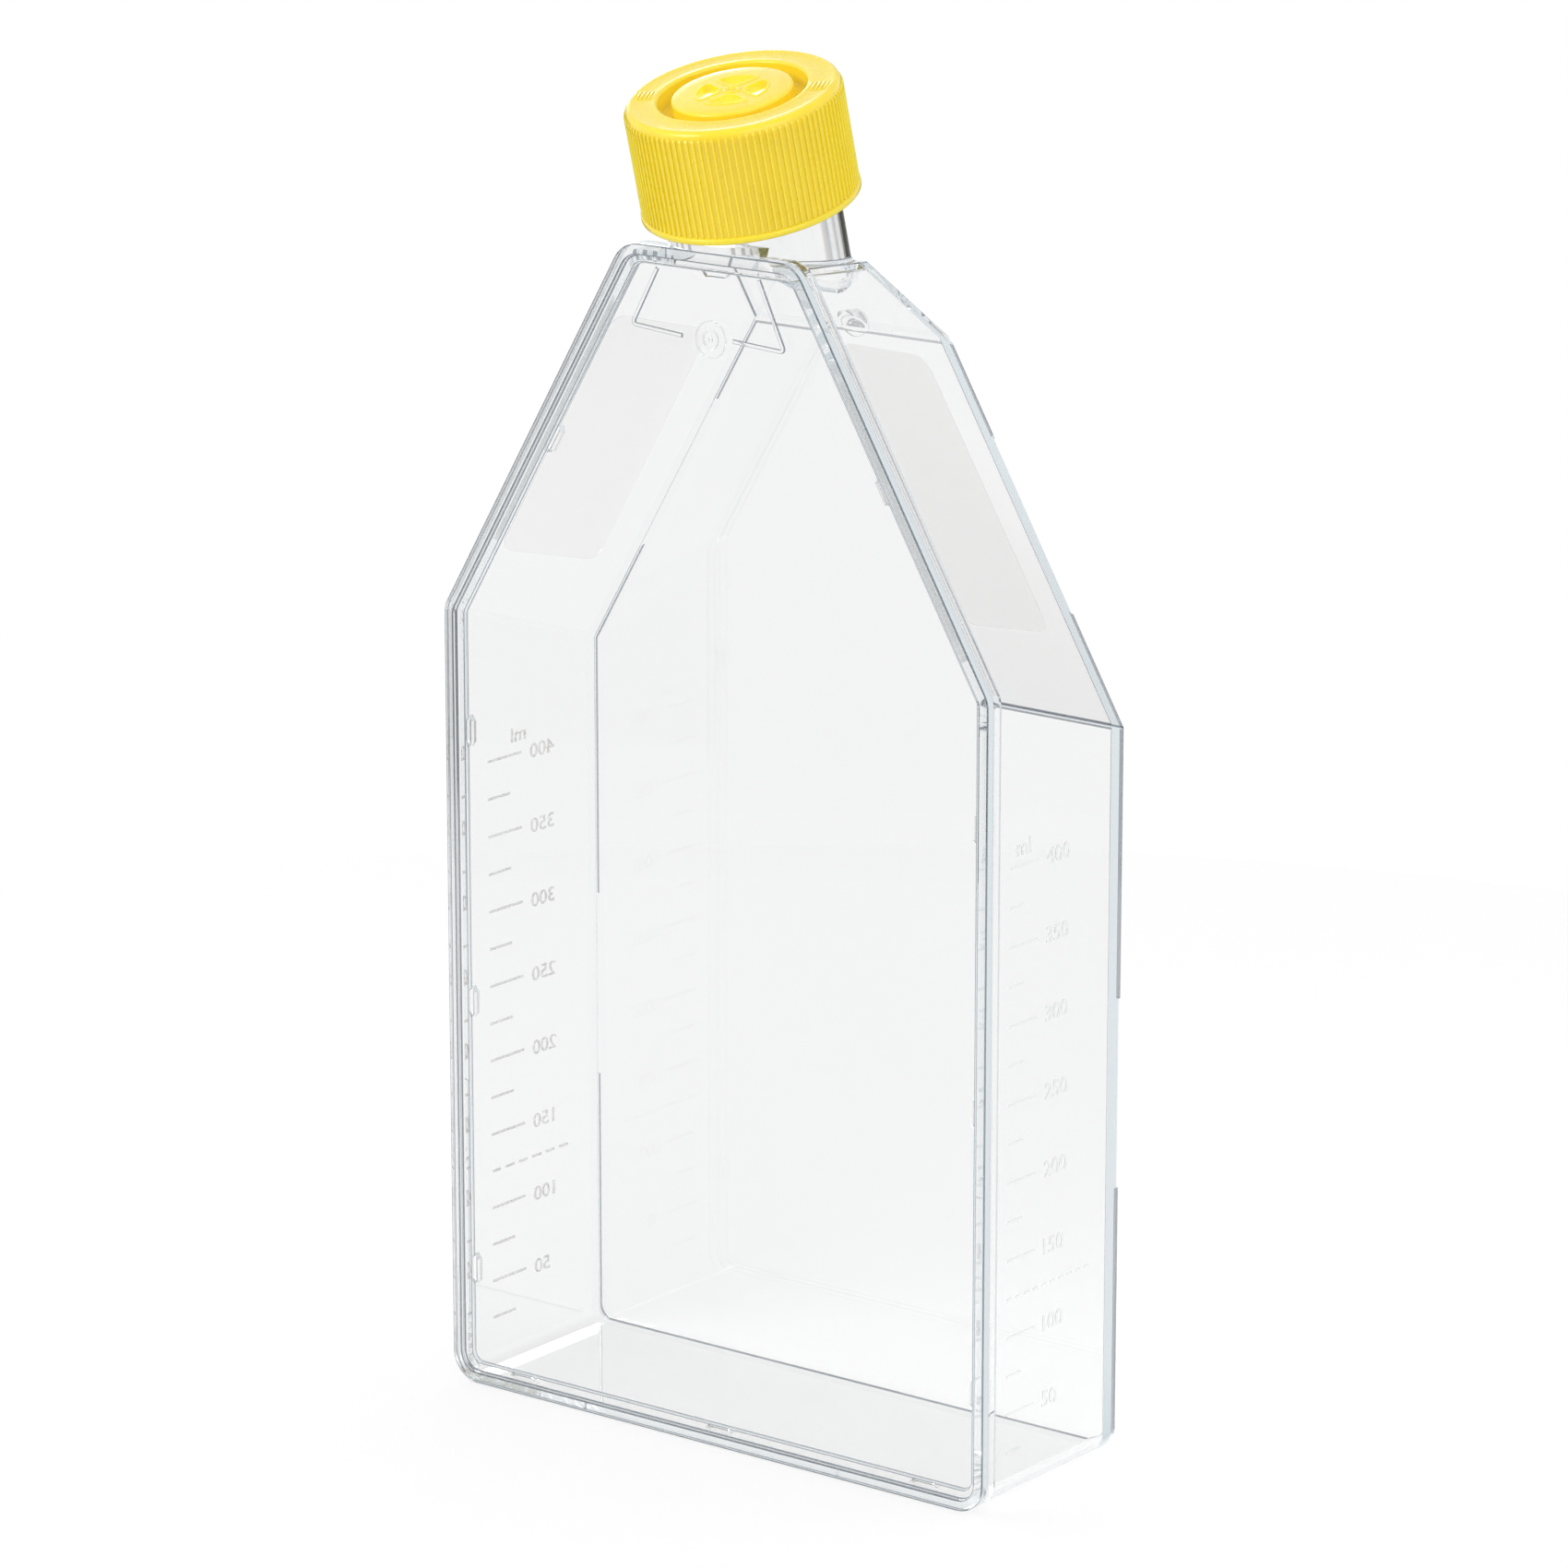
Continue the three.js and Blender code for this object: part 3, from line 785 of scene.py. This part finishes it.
def raise_ribs(cap):
    """Every third column of the skirt's faces becomes a rib with round edges and a sloped top."""
    def column(face):
        middle = face.calc_center_median()
        tall = face.normal.z ** 2 < 0.01 and abs(cap_radius(middle) - SKIRT) < 0.05
        turn = math.atan2(middle.y, middle.x) / (2 * math.pi) * 3 * RIBS
        return tall and round(turn - 0.5) % 3 == 0

    def on_crest(corner, height):
        return cap_radius(corner.co) > SKIRT + 0.2 and corner.co.z > height * MM

    def standing(edge):
        a, b = edge.verts
        return on_crest(a, 1.2) and on_crest(b, 1.2) and abs(a.co.z - b.co.z) > MM

    edit(cap)
    pick(cap, "FACE", column)
    bpy.ops.mesh.extrude_region_shrink_fatten(
        TRANSFORM_OT_shrink_fatten={"value": RIB_HEIGHT * MM}
    )
    pick(cap, "VERT", lambda v: on_crest(v, 2))
    bpy.ops.transform.translate(value=mm(0, 0, -RIB_SLOPE))
    pick(cap, "EDGE", standing)
    bpy.ops.mesh.bevel(offset=RIB_ROUNDING * MM, segments=3, affect="EDGES")
    leave()


def vent_window(margin, low, high):
    """A kidney-shaped plate with round corners. Low and high are counted from the cap's top."""
    far, near, spoke = WINDOW_OUTER + margin, WINDOW_INNER - margin, HALF_SPOKE - margin
    gap, inner_gap = math.asin(spoke / far), math.asin(spoke / near)
    outer = round_points(far, gap, math.pi / 2 - gap, 14)
    inner = round_points(near, math.pi / 2 - inner_gap, inner_gap, 6)
    window = outline("window", [mm(x, y, CAP_HEIGHT + low) for x, y in outer + inner])
    edit(window)
    corners = (0, len(outer) - 1, len(outer), len(outer) + len(inner) - 1)
    pick(window, "VERT", lambda v: v.index in corners)
    bpy.ops.mesh.bevel(offset=WINDOW_ROUNDING * MM, segments=5, affect="VERTICES")
    raise_outline(mm(0, 0, high - low))
    leave()
    return window


def cap_bars():
    """Short raised bars in two groups, opposite each other on the cap's top."""
    half, long = 0.18, 1.7
    top, low = CAP_HEIGHT + 0.03, CAP_HEIGHT - 0.5
    bar = cuboid("bar", (-half, -long, low), (half, long, top))
    round_edges(bar, lambda e: at(e, 2, top) or (sharp(e) and not at(e, 2, low)), 0.08, 2)
    places = [
        Matrix.Rotation(math.radians(turn), 4, "Z")
        @ Matrix.Translation(mm(BAR_RADIUS + (i - (BARS - 1) / 2) * BAR_PITCH, 0, 0))
        for turn in BAR_TURNS
        for i in range(BARS)
    ]
    return copies(bar, places)


def make_cap():
    cap = spun("cap_shell", cap_profile(), 3 * RIBS)
    raise_ribs(cap)
    steps = [WINDOW_TURN + i * 2 * math.pi / WINDOWS for i in range(WINDOWS)]
    turns = [Matrix.Rotation(step, 4, "Z") for step in steps]
    rim = vent_window(WINDOW_RIM, RIM_LOW, RIM_HIGH)
    round_edges(rim, lambda e: at(e, 2, CAP_HEIGHT + RIM_HIGH), 0.09, 2)
    for piece in copies(rim, turns):
        weld(cap, piece)
    for piece in copies(vent_window(0.0, CUT_LOW, CUT_HIGH), turns):
        carve(cap, piece)
    for bar in cap_bars():
        weld(cap, bar)
    placed(cap, NECK_FRAME @ Matrix.Translation(mm(0, 0, CAP_START)))
    return tidy(cap, 35)


tub = make_tub()
lid = make_lid()
marks_right, marks_left = make_marks(1), make_marks(-1)
field_right, field_left = frosted_field(1), frosted_field(-1)
thread = make_neck_thread()
cap = make_cap()
for piece in (marks_right, marks_left, field_right, field_left, thread):
    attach(piece, "flask")
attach(cap, "cap")
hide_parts("screw_cap")
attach(tub, "flask")
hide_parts("flask_tub")
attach(lid, "flask")
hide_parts("top_plate")


# ---- Finishes ----------------------------------------------------------------
WHITE = (1, 1, 1, 1)
DEEP = 16                        # turns inside clear walls after which light counts as trapped
DEEP_BY_CAP = 4                  # the same near the cap
PAINTED_TRAPPED_GLOW = (0.84, 0.87, 0.89, 1)  # painted light: the glow that stands in for light trapped in clear walls
PAINTED_CAP_SHADE = (0.2, 0.19, 0.06, 1)  # painted shade: the same glow near the cap, dark olive for the cap's dark inside
BY_CAP = (0.196, 0.206)          # heights in metres between which the painted cap shade takes over
PAINTED_EDGE_SHADE = (0.12, 0.14, 0.165, 1)  # painted shade on rounded edges of clear plastic
POLYSTYRENE = (0.949, 0.95, 0.95)
FROSTED = (0.986, 0.983, 0.976)
CLOUDING = 0.004                 # how far the tone of clear plastic goes up and down
CLEAR_INDEX = 1.59
MATT_INDEX = 1.51
WALL_TINT = (0.55, 0.68, 0.74, 1)  # what thick walls let through
TINT_DENSITY = 5.0
PAINTED_GROOVE_LIGHT = 0.12                  # painted light in the groove, an emission that lifts its shade
PAINTED_GROOVE_LIGHT_COLOUR = (0.9, 0.62, 0.05, 1)


def new_material(name):
    material = bpy.data.materials.new(name)
    material.cycles.emission_sampling = "NONE"
    material.use_nodes = True
    material.node_tree.nodes.clear()
    return material, material.node_tree


def feed(tree, socket, value):
    """Sets a socket to a number or colour, or links another node's output to it."""
    if isinstance(value, bpy.types.NodeSocket):
        tree.links.new(value, socket)
    else:
        socket.default_value = value


def math_node(tree, operation, first, second=None):
    """One step of a sum. Either value may be a number or another node's output."""
    step = tree.nodes.new("ShaderNodeMath")
    step.operation = operation
    feed(tree, step.inputs[0], first)
    if second is not None:
        feed(tree, step.inputs[1], second)
    return step.outputs[0]


def colour_mix(tree, share, first, second):
    """Either colour may be written out or another node's output."""
    mix = tree.nodes.new("ShaderNodeMix")
    mix.data_type = "RGBA"
    for place, value in ((0, share), (6, first), (7, second)):
        feed(tree, mix.inputs[place], value)
    return mix.outputs[2]


def shader_mix(tree, share, first, second):
    mix = tree.nodes.new("ShaderNodeMixShader")
    for socket, value in zip(mix.inputs, (share, first, second)):
        feed(tree, socket, value)
    return mix.outputs[0]


def map_range(tree, value, low, high, start, end):
    """A smooth step from start to end while the value goes from low to high."""
    step = tree.nodes.new("ShaderNodeMapRange")
    step.interpolation_type = "SMOOTHSTEP"
    names = ("Value", "From Min", "From Max", "To Min", "To Max")
    for name, number in zip(names, (value, low, high, start, end)):
        feed(tree, step.inputs[name], number)
    return step.outputs["Result"]


def parts_of(tree, vector):
    """The vector's X, Y and Z."""
    parts = tree.nodes.new("ShaderNodeSeparateXYZ")
    tree.links.new(vector, parts.inputs[0])
    return parts.outputs


def noise(tree, place, scale, detail=2.0, stretch=None):
    grain = tree.nodes.new("ShaderNodeTexNoise")
    grain.inputs["Scale"].default_value = scale
    grain.inputs["Detail"].default_value = detail
    if stretch:
        mapping = tree.nodes.new("ShaderNodeMapping")
        mapping.inputs["Scale"].default_value = stretch
        tree.links.new(place, mapping.inputs["Vector"])
        place = mapping.outputs["Vector"]
    tree.links.new(place, grain.inputs["Vector"])
    return grain.outputs["Fac"]


def relief(tree, height, depth, strength=1.0, under=None):
    """A bump of that depth in millimetres."""
    bump = tree.nodes.new("ShaderNodeBump")
    bump.inputs["Strength"].default_value = strength
    bump.inputs["Distance"].default_value = depth * MM
    tree.links.new(height, bump.inputs["Height"])
    if under:
        tree.links.new(under, bump.inputs["Normal"])
    return bump.outputs["Normal"]


def glassy_skin(tree, place, tone, haze, grain):
    """The shader of clear plastic, cloudy and smeared a little, with painted shade on rounded
    edges.
    """
    glass = tree.nodes.new("ShaderNodeBsdfPrincipled")
    glass.inputs["IOR"].default_value = CLEAR_INDEX
    glass.inputs["Transmission Weight"].default_value = 1.0
    low, high = (tuple(t + step for t in tone) + (1,) for step in (-CLOUDING, CLOUDING))
    body = colour_mix(tree, noise(tree, place, 22.0, 3.0), low, high)
    edge = tree.nodes.new("ShaderNodeAttribute")
    edge.attribute_name = "painted_edge_shade"
    # Painted shade: marked rounded edges get a dark colour mixed into the skin.
    skin = colour_mix(tree, edge.outputs["Fac"], body, PAINTED_EDGE_SHADE)
    tree.links.new(skin, glass.inputs["Base Color"])
    smear = noise(tree, place, 60.0, 4.0, (1, 1, 0.35))
    tree.links.new(map_range(tree, smear, 0.52, 0.78, *haze), glass.inputs["Roughness"])
    flow = relief(tree, noise(tree, place, 35.0, 1.0, (1, 1, 0.5)), 0.01, 0.5)
    if grain:
        flow = relief(tree, noise(tree, place, grain[0], 2.0), grain[1], 1.0, flow)
    tree.links.new(flow, glass.inputs["Normal"])
    return glass.outputs[0]


def paint_trapped_glow(tree, place, path):
    """A painted glow that stands in for light trapped in clear walls, with painted shade of the
    cap's dark inside near the cap, and whether light has turned so often inside clear walls that it
    shows.
    """
    by_cap = map_range(tree, parts_of(tree, place)["Z"], *BY_CAP, 0.0, 1.0)
    trapped = tree.nodes.new("ShaderNodeEmission")
    tree.links.new(colour_mix(tree, by_cap, PAINTED_TRAPPED_GLOW, PAINTED_CAP_SHADE), trapped.inputs["Color"])
    fewer = math_node(tree, "MULTIPLY", by_cap, DEEP - DEEP_BY_CAP)
    turns = math_node(tree, "SUBTRACT", DEEP, fewer)
    return math_node(tree, "GREATER_THAN", path.outputs["Ray Depth"], turns), trapped.outputs[0]


def clear_plastic(name, tone, haze, shade, grain=None):
    """Clear polystyrene. Haze is its roughness from and to, shade what a shadow ray keeps."""
    material, tree = new_material(name)
    place = tree.nodes.new("ShaderNodeTexCoord").outputs["Object"]
    path = tree.nodes.new("ShaderNodeLightPath")
    passing = tree.nodes.new("ShaderNodeBsdfTransparent")
    passing.inputs["Color"].default_value = (shade, shade, shade, 1)
    tint = tree.nodes.new("ShaderNodeVolumeAbsorption")
    tint.inputs["Color"].default_value = WALL_TINT
    tint.inputs["Density"].default_value = TINT_DENSITY
    glass = glassy_skin(tree, place, tone, haze, grain)
    plain = shader_mix(tree, path.outputs["Is Shadow Ray"], glass, passing.outputs[0])
    deep, trapped = paint_trapped_glow(tree, place, path)
    out = tree.nodes.new("ShaderNodeOutputMaterial")
    # Painted light: past that many turns, clear plastic glows instead of passing light on.
    tree.links.new(shader_mix(tree, deep, plain, trapped), out.inputs["Surface"])
    tree.links.new(tint.outputs[0], out.inputs["Volume"])
    return material


def matt_plastic(
    name, colour, other, roughness, grain, through=0.0, subsurface=0.0, glow=0.0, open_share=None
):
    """A moulded or woven white or coloured surface, with cloudy colour and a fine grain.

    Through is the share of light that shines through it. Glow is painted light, a white emission of
    that strength. Open_share is the share of clear speckles, from and to.
    """
    material, tree = new_material(name)
    place = tree.nodes.new("ShaderNodeTexCoord").outputs["Object"]
    shader = tree.nodes.new("ShaderNodeBsdfPrincipled")
    cloud = map_range(tree, noise(tree, place, 90.0, 3.0), 0.3, 0.7, 0.0, 1.0)
    skin = colour_mix(tree, cloud, (*colour, 1), (*other, 1))
    tree.links.new(skin, shader.inputs["Base Color"])
    wear = map_range(tree, noise(tree, place, 260.0, 3.0), 0.3, 0.7, *roughness)
    tree.links.new(wear, shader.inputs["Roughness"])
    fine = relief(tree, noise(tree, place, grain[0], 3.0), grain[1])
    uneven = relief(tree, noise(tree, place, 120.0, 1.0), 0.03, 1.0, fine)
    tree.links.new(uneven, shader.inputs["Normal"])
    shader.inputs["IOR"].default_value = MATT_INDEX
    shader.inputs["Subsurface Weight"].default_value = subsurface
    shader.inputs["Subsurface Radius"].default_value = (1.0, 0.7, 0.15)
    shader.inputs["Subsurface Scale"].default_value = 3.0 * MM
    shader.inputs["Emission Color"].default_value = WHITE
    shader.inputs["Emission Strength"].default_value = glow
    surface = shader.outputs[0]
    if through:
        thin = tree.nodes.new("ShaderNodeBsdfTranslucent")
        tree.links.new(skin, thin.inputs["Color"])
        surface = shader_mix(tree, through, surface, thin.outputs[0])
    if open_share:
        speckle = map_range(tree, noise(tree, place, 1400.0, 2.0), 0.42, 0.58, *open_share)
        bare = tree.nodes.new("ShaderNodeBsdfTransparent")
        surface = shader_mix(tree, speckle, surface, bare.outputs[0])
    out = tree.nodes.new("ShaderNodeOutputMaterial")
    tree.links.new(surface, out.inputs["Surface"])
    return material


def paint_groove_light(material):
    """Paints light into the cap's groove as a faint emission, lifting the shade there as light
    through its thin walls would, and makes its skin glossy.
    """
    tree = material.node_tree
    shader = next(node for node in tree.nodes if node.type == "BSDF_PRINCIPLED")
    upright = tree.nodes.new("ShaderNodeMapping")
    upright.vector_type = "TEXTURE"
    upright.inputs["Location"].default_value = mm(*NECK_AT)
    upright.inputs["Rotation"].default_value = (NECK_LEAN, 0, 0)
    place = tree.nodes.new("ShaderNodeTexCoord").outputs["Object"]
    tree.links.new(place, upright.inputs["Vector"])
    x, y, z = parts_of(tree, upright.outputs["Vector"])
    across, along = math_node(tree, "MULTIPLY", x, x), math_node(tree, "MULTIPLY", y, y)
    radius = math_node(tree, "SQRT", math_node(tree, "ADD", across, along))
    top = CAP_START + CAP_HEIGHT
    deep = map_range(tree, z, (top - 1.6) * MM, (top - 0.3) * MM, PAINTED_GROOVE_LIGHT, 0.0)
    outer, inner = GROOVE_OUT, DISC
    inside = map_range(tree, radius, (outer + 0.1) * MM, (outer + 0.6) * MM, 1.0, 0.0)
    beyond = map_range(tree, radius, (inner - 0.6) * MM, (inner - 0.1) * MM, 0.0, 1.0)
    groove = math_node(tree, "MULTIPLY", inside, beyond)
    # Painted light: an emission lifts the groove's shade.
    glow = math_node(tree, "MULTIPLY", deep, groove)
    tree.links.new(glow, shader.inputs["Emission Strength"])
    shader.inputs["Emission Color"].default_value = PAINTED_GROOVE_LIGHT_COLOUR
    shader.inputs["Coat Weight"].default_value = 0.35
    shader.inputs["Coat Roughness"].default_value = 0.08


def dress(pieces, material):
    for piece in pieces:
        piece.data.materials.clear()
        piece.data.materials.append(material)


clear = clear_plastic("clear_polystyrene", POLYSTYRENE, (0.0, 0.02), 0.985)
frosted = clear_plastic("frosted_polystyrene", FROSTED, (0.12, 0.17), 0.97, (2600.0, 0.004))
matt = matt_plastic(
    "matt_mark", (0.93, 0.91, 0.9), (0.86, 0.84, 0.83),
    (0.5, 0.65), (3000.0, 0.03), through=0.5, open_share=(0.2, 0.65),
)
yellow = matt_plastic(
    "yellow_polyethylene", (0.9, 0.695, 0.035), (0.87, 0.66, 0.03),
    (0.25, 0.35), (1500.0, 0.008), subsurface=0.5,
)
# The membrane's glow is painted light, standing in for light from inside the flask that shines
# through it.
white = matt_plastic(
    "white_membrane", (0.93, 0.93, 0.92), (0.88, 0.88, 0.87),
    (0.75, 0.9), (4000.0, 0.03), through=0.3, glow=0.6,
)
paint_groove_light(yellow)
dress((tub, lid, thread, marks_right), clear)
dress((field_right, field_left), frosted)
dress((marks_left,), matt)
dress((cap,), yellow)
dress((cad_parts["vent_membrane"],), white)

# ---- Floor, light and camera -------------------------------------------------
GROUPS = 8                       # of slats, all round
SLATS = 6                        # for each group, of which the outer ones fade out
COOL_SLAT = (0.42, 0.5, 0.55, 1)
WARM_SLAT = (0.6, 0.52, 0.48, 1)
OVERHEAD = (0.42, 0.41, 0.24, 1)
# Directions as seen from the part: two bright boxes, the dim front and two dark screens.
BOXES = ((-0.254, 0.229, 0.94), (-0.727, 0.654, 0.208))
DIM_FRONT = (0.59, -0.77, 0.25)
SCREENS = ((-0.267, 0.931, -0.25), (-0.83, 0.499, -0.25))
BOX_STRENGTH = 4.0
DIMMED = 0.75                    # what the dim front takes away
SCREENED = 0.92                  # what a dark screen takes away
ROOM_LIGHT = 0.85
FLOOR_RADIUS = 0.38              # in metres
FLOOR_DROP = 0.0002
FLOOR_COLOUR = (0.4, 0.4, 0.4, 1)
FLOOR_GLOW = 0.585
LAMP_AIM = Vector((0, 0, 0.12))
CAMERA_AT = (682.22, -884.13, 400.76)
CAMERA_WAY = Vector((-0.59121, 0.76665, -0.25044))
CAMERA_LENS = 157.7
CAMERA_SENSOR = 36

scene = bpy.context.scene
scene.view_settings.view_transform = "Standard"
# Light runs far inside clear walls before it leaves at their edges.
scene.cycles.max_bounces = DEEP + 8
scene.cycles.transmission_bounces = DEEP + 8
scene.cycles.glossy_bounces = DEEP + 8


def seen(tree, path):
    """1 for what the camera, gloss and clear plastic show, and 0 for what lights the part."""
    glossy, through = path.outputs["Is Glossy Ray"], path.outputs["Is Transmission Ray"]
    bounced = math_node(tree, "MAXIMUM", glossy, through)
    return math_node(tree, "MAXIMUM", bounced, path.outputs["Is Camera Ray"])


def stage_floor():
    bpy.ops.object.select_all(action="DESELECT")
    bpy.ops.mesh.primitive_circle_add(
        vertices=96, radius=FLOOR_RADIUS, fill_type="NGON", location=(0, 0, -FLOOR_DROP)
    )
    floor = newest("floor")
    material, tree = new_material("pale_floor")
    diffuse = tree.nodes.new("ShaderNodeBsdfDiffuse")
    diffuse.inputs["Color"].default_value = FLOOR_COLOUR
    looked_at = seen(tree, tree.nodes.new("ShaderNodeLightPath"))
    glow = tree.nodes.new("ShaderNodeEmission")
    tree.links.new(math_node(tree, "MULTIPLY", looked_at, FLOOR_GLOW), glow.inputs["Strength"])
    both = tree.nodes.new("ShaderNodeAddShader")
    tree.links.new(diffuse.outputs[0], both.inputs[0])
    tree.links.new(glow.outputs[0], both.inputs[1])
    out = tree.nodes.new("ShaderNodeOutputMaterial")
    tree.links.new(both.outputs[0], out.inputs["Surface"])
    floor.data.materials.append(material)


def toward(tree, place, *ways):
    """How far the direction points to the nearest way: 1 straight to it, 0 at right angles."""
    shares = []
    for way in ways:
        share = tree.nodes.new("ShaderNodeVectorMath")
        share.operation = "DOT_PRODUCT"
        tree.links.new(place, share.inputs[0])
        share.inputs[1].default_value = way
        shares.append(share.outputs["Value"])
    return shares[0] if len(ways) == 1 else math_node(tree, "MAXIMUM", *shares)


def dark_slats(tree, place):
    """Thin upright slats all round the white room, in groups between its main directions.

    Gives where they stand and how warm their colour is.
    """
    x, y, _ = parts_of(tree, place)
    turn = math_node(tree, "ARCTAN2", y, x)
    group = math_node(tree, "COSINE", math_node(tree, "MULTIPLY", turn, GROUPS))
    slat = math_node(tree, "COSINE", math_node(tree, "MULTIPLY", turn, GROUPS * SLATS))
    wave = math_node(tree, "SINE", math_node(tree, "MULTIPLY", turn, GROUPS * SLATS / 2))
    inside = map_range(tree, group, -0.5, -0.1, 1.0, 0.0)
    thin = map_range(tree, slat, 0.0, 0.6, 0.0, 1.0)
    return math_node(tree, "MULTIPLY", inside, thin), map_range(tree, wave, -1, 1, 0, 1)


def room_colour(tree, place, path):
    """White for the camera, and with slats and an olive ceiling for gloss and clear plastic."""
    slats, warmth = dark_slats(tree, place)
    ceiling = map_range(tree, parts_of(tree, place)["Z"], 0.45, 0.75, 0.0, 0.6)
    colour = colour_mix(tree, warmth, COOL_SLAT, WARM_SLAT)
    colour = colour_mix(tree, ceiling, colour, OVERHEAD)
    dark = math_node(tree, "MAXIMUM", slats, ceiling)
    unseen = math_node(tree, "SUBTRACT", 1.0, path.outputs["Is Camera Ray"])
    return colour_mix(tree, math_node(tree, "MULTIPLY", dark, unseen), WHITE, colour)


def room_strength(tree, place, path):
    """1, apart from two small bright boxes, a dim front and two screens for mirrored rays."""
    boxes = map_range(tree, toward(tree, place, *BOXES), 0.985, 0.992, 0.0, BOX_STRENGTH)
    front = map_range(tree, toward(tree, place, DIM_FRONT), 0.2, 0.8, 0.0, DIMMED)
    screens = map_range(tree, toward(tree, place, *SCREENS), 0.951, 0.972, 0.0, SCREENED)
    shown = math_node(tree, "SUBTRACT", boxes, math_node(tree, "MAXIMUM", front, screens))
    mirrored = math_node(tree, "MINIMUM", path.outputs["Glossy Depth"], 1.0)
    return math_node(tree, "ADD", 1.0, math_node(tree, "MULTIPLY", shown, mirrored))


def studio():
    """A white room. Its light on the part is even, whatever gloss and clear plastic show."""
    world = bpy.data.worlds.new("studio")
    scene.world = world
    world.use_nodes = True
    world.cycles.sampling_method = "NONE"
    tree = world.node_tree
    tree.nodes.clear()
    path = tree.nodes.new("ShaderNodeLightPath")
    place = tree.nodes.new("ShaderNodeTexCoord").outputs["Generated"]
    light = tree.nodes.new("ShaderNodeBackground")
    light.inputs["Color"].default_value = WHITE
    light.inputs["Strength"].default_value = ROOM_LIGHT
    backdrop = tree.nodes.new("ShaderNodeBackground")
    tree.links.new(room_colour(tree, place, path), backdrop.inputs["Color"])
    tree.links.new(room_strength(tree, place, path), backdrop.inputs["Strength"])
    room = shader_mix(tree, seen(tree, path), light.outputs[0], backdrop.outputs[0])
    out = tree.nodes.new("ShaderNodeOutputWorld")
    tree.links.new(room, out.inputs["Surface"])


def soft_lamp(name, place, size, power):
    lamp = bpy.data.lights.new(name, "AREA")
    lamp.shape = "SQUARE"
    lamp.size = size
    lamp.energy = power
    stand = bpy.data.objects.new(name, lamp)
    stand.location = place
    aim = LAMP_AIM - Vector(place)
    stand.rotation_euler = aim.to_track_quat("-Z", "Y").to_euler()
    bpy.context.collection.objects.link(stand)


def camera():
    data = bpy.data.cameras.new("camera")
    data.sensor_width = CAMERA_SENSOR
    data.lens = CAMERA_LENS
    stand = bpy.data.objects.new("camera", data)
    stand.location = mm(*CAMERA_AT)
    stand.rotation_euler = CAMERA_WAY.to_track_quat("-Z", "Y").to_euler()
    bpy.context.collection.objects.link(stand)
    scene.camera = stand


stage_floor()
studio()
soft_lamp("key", (-0.5, -1.3, 0.85), 0.5, 8)
soft_lamp("fill", (1.4, -0.6, 0.6), 1.4, 9)
camera()
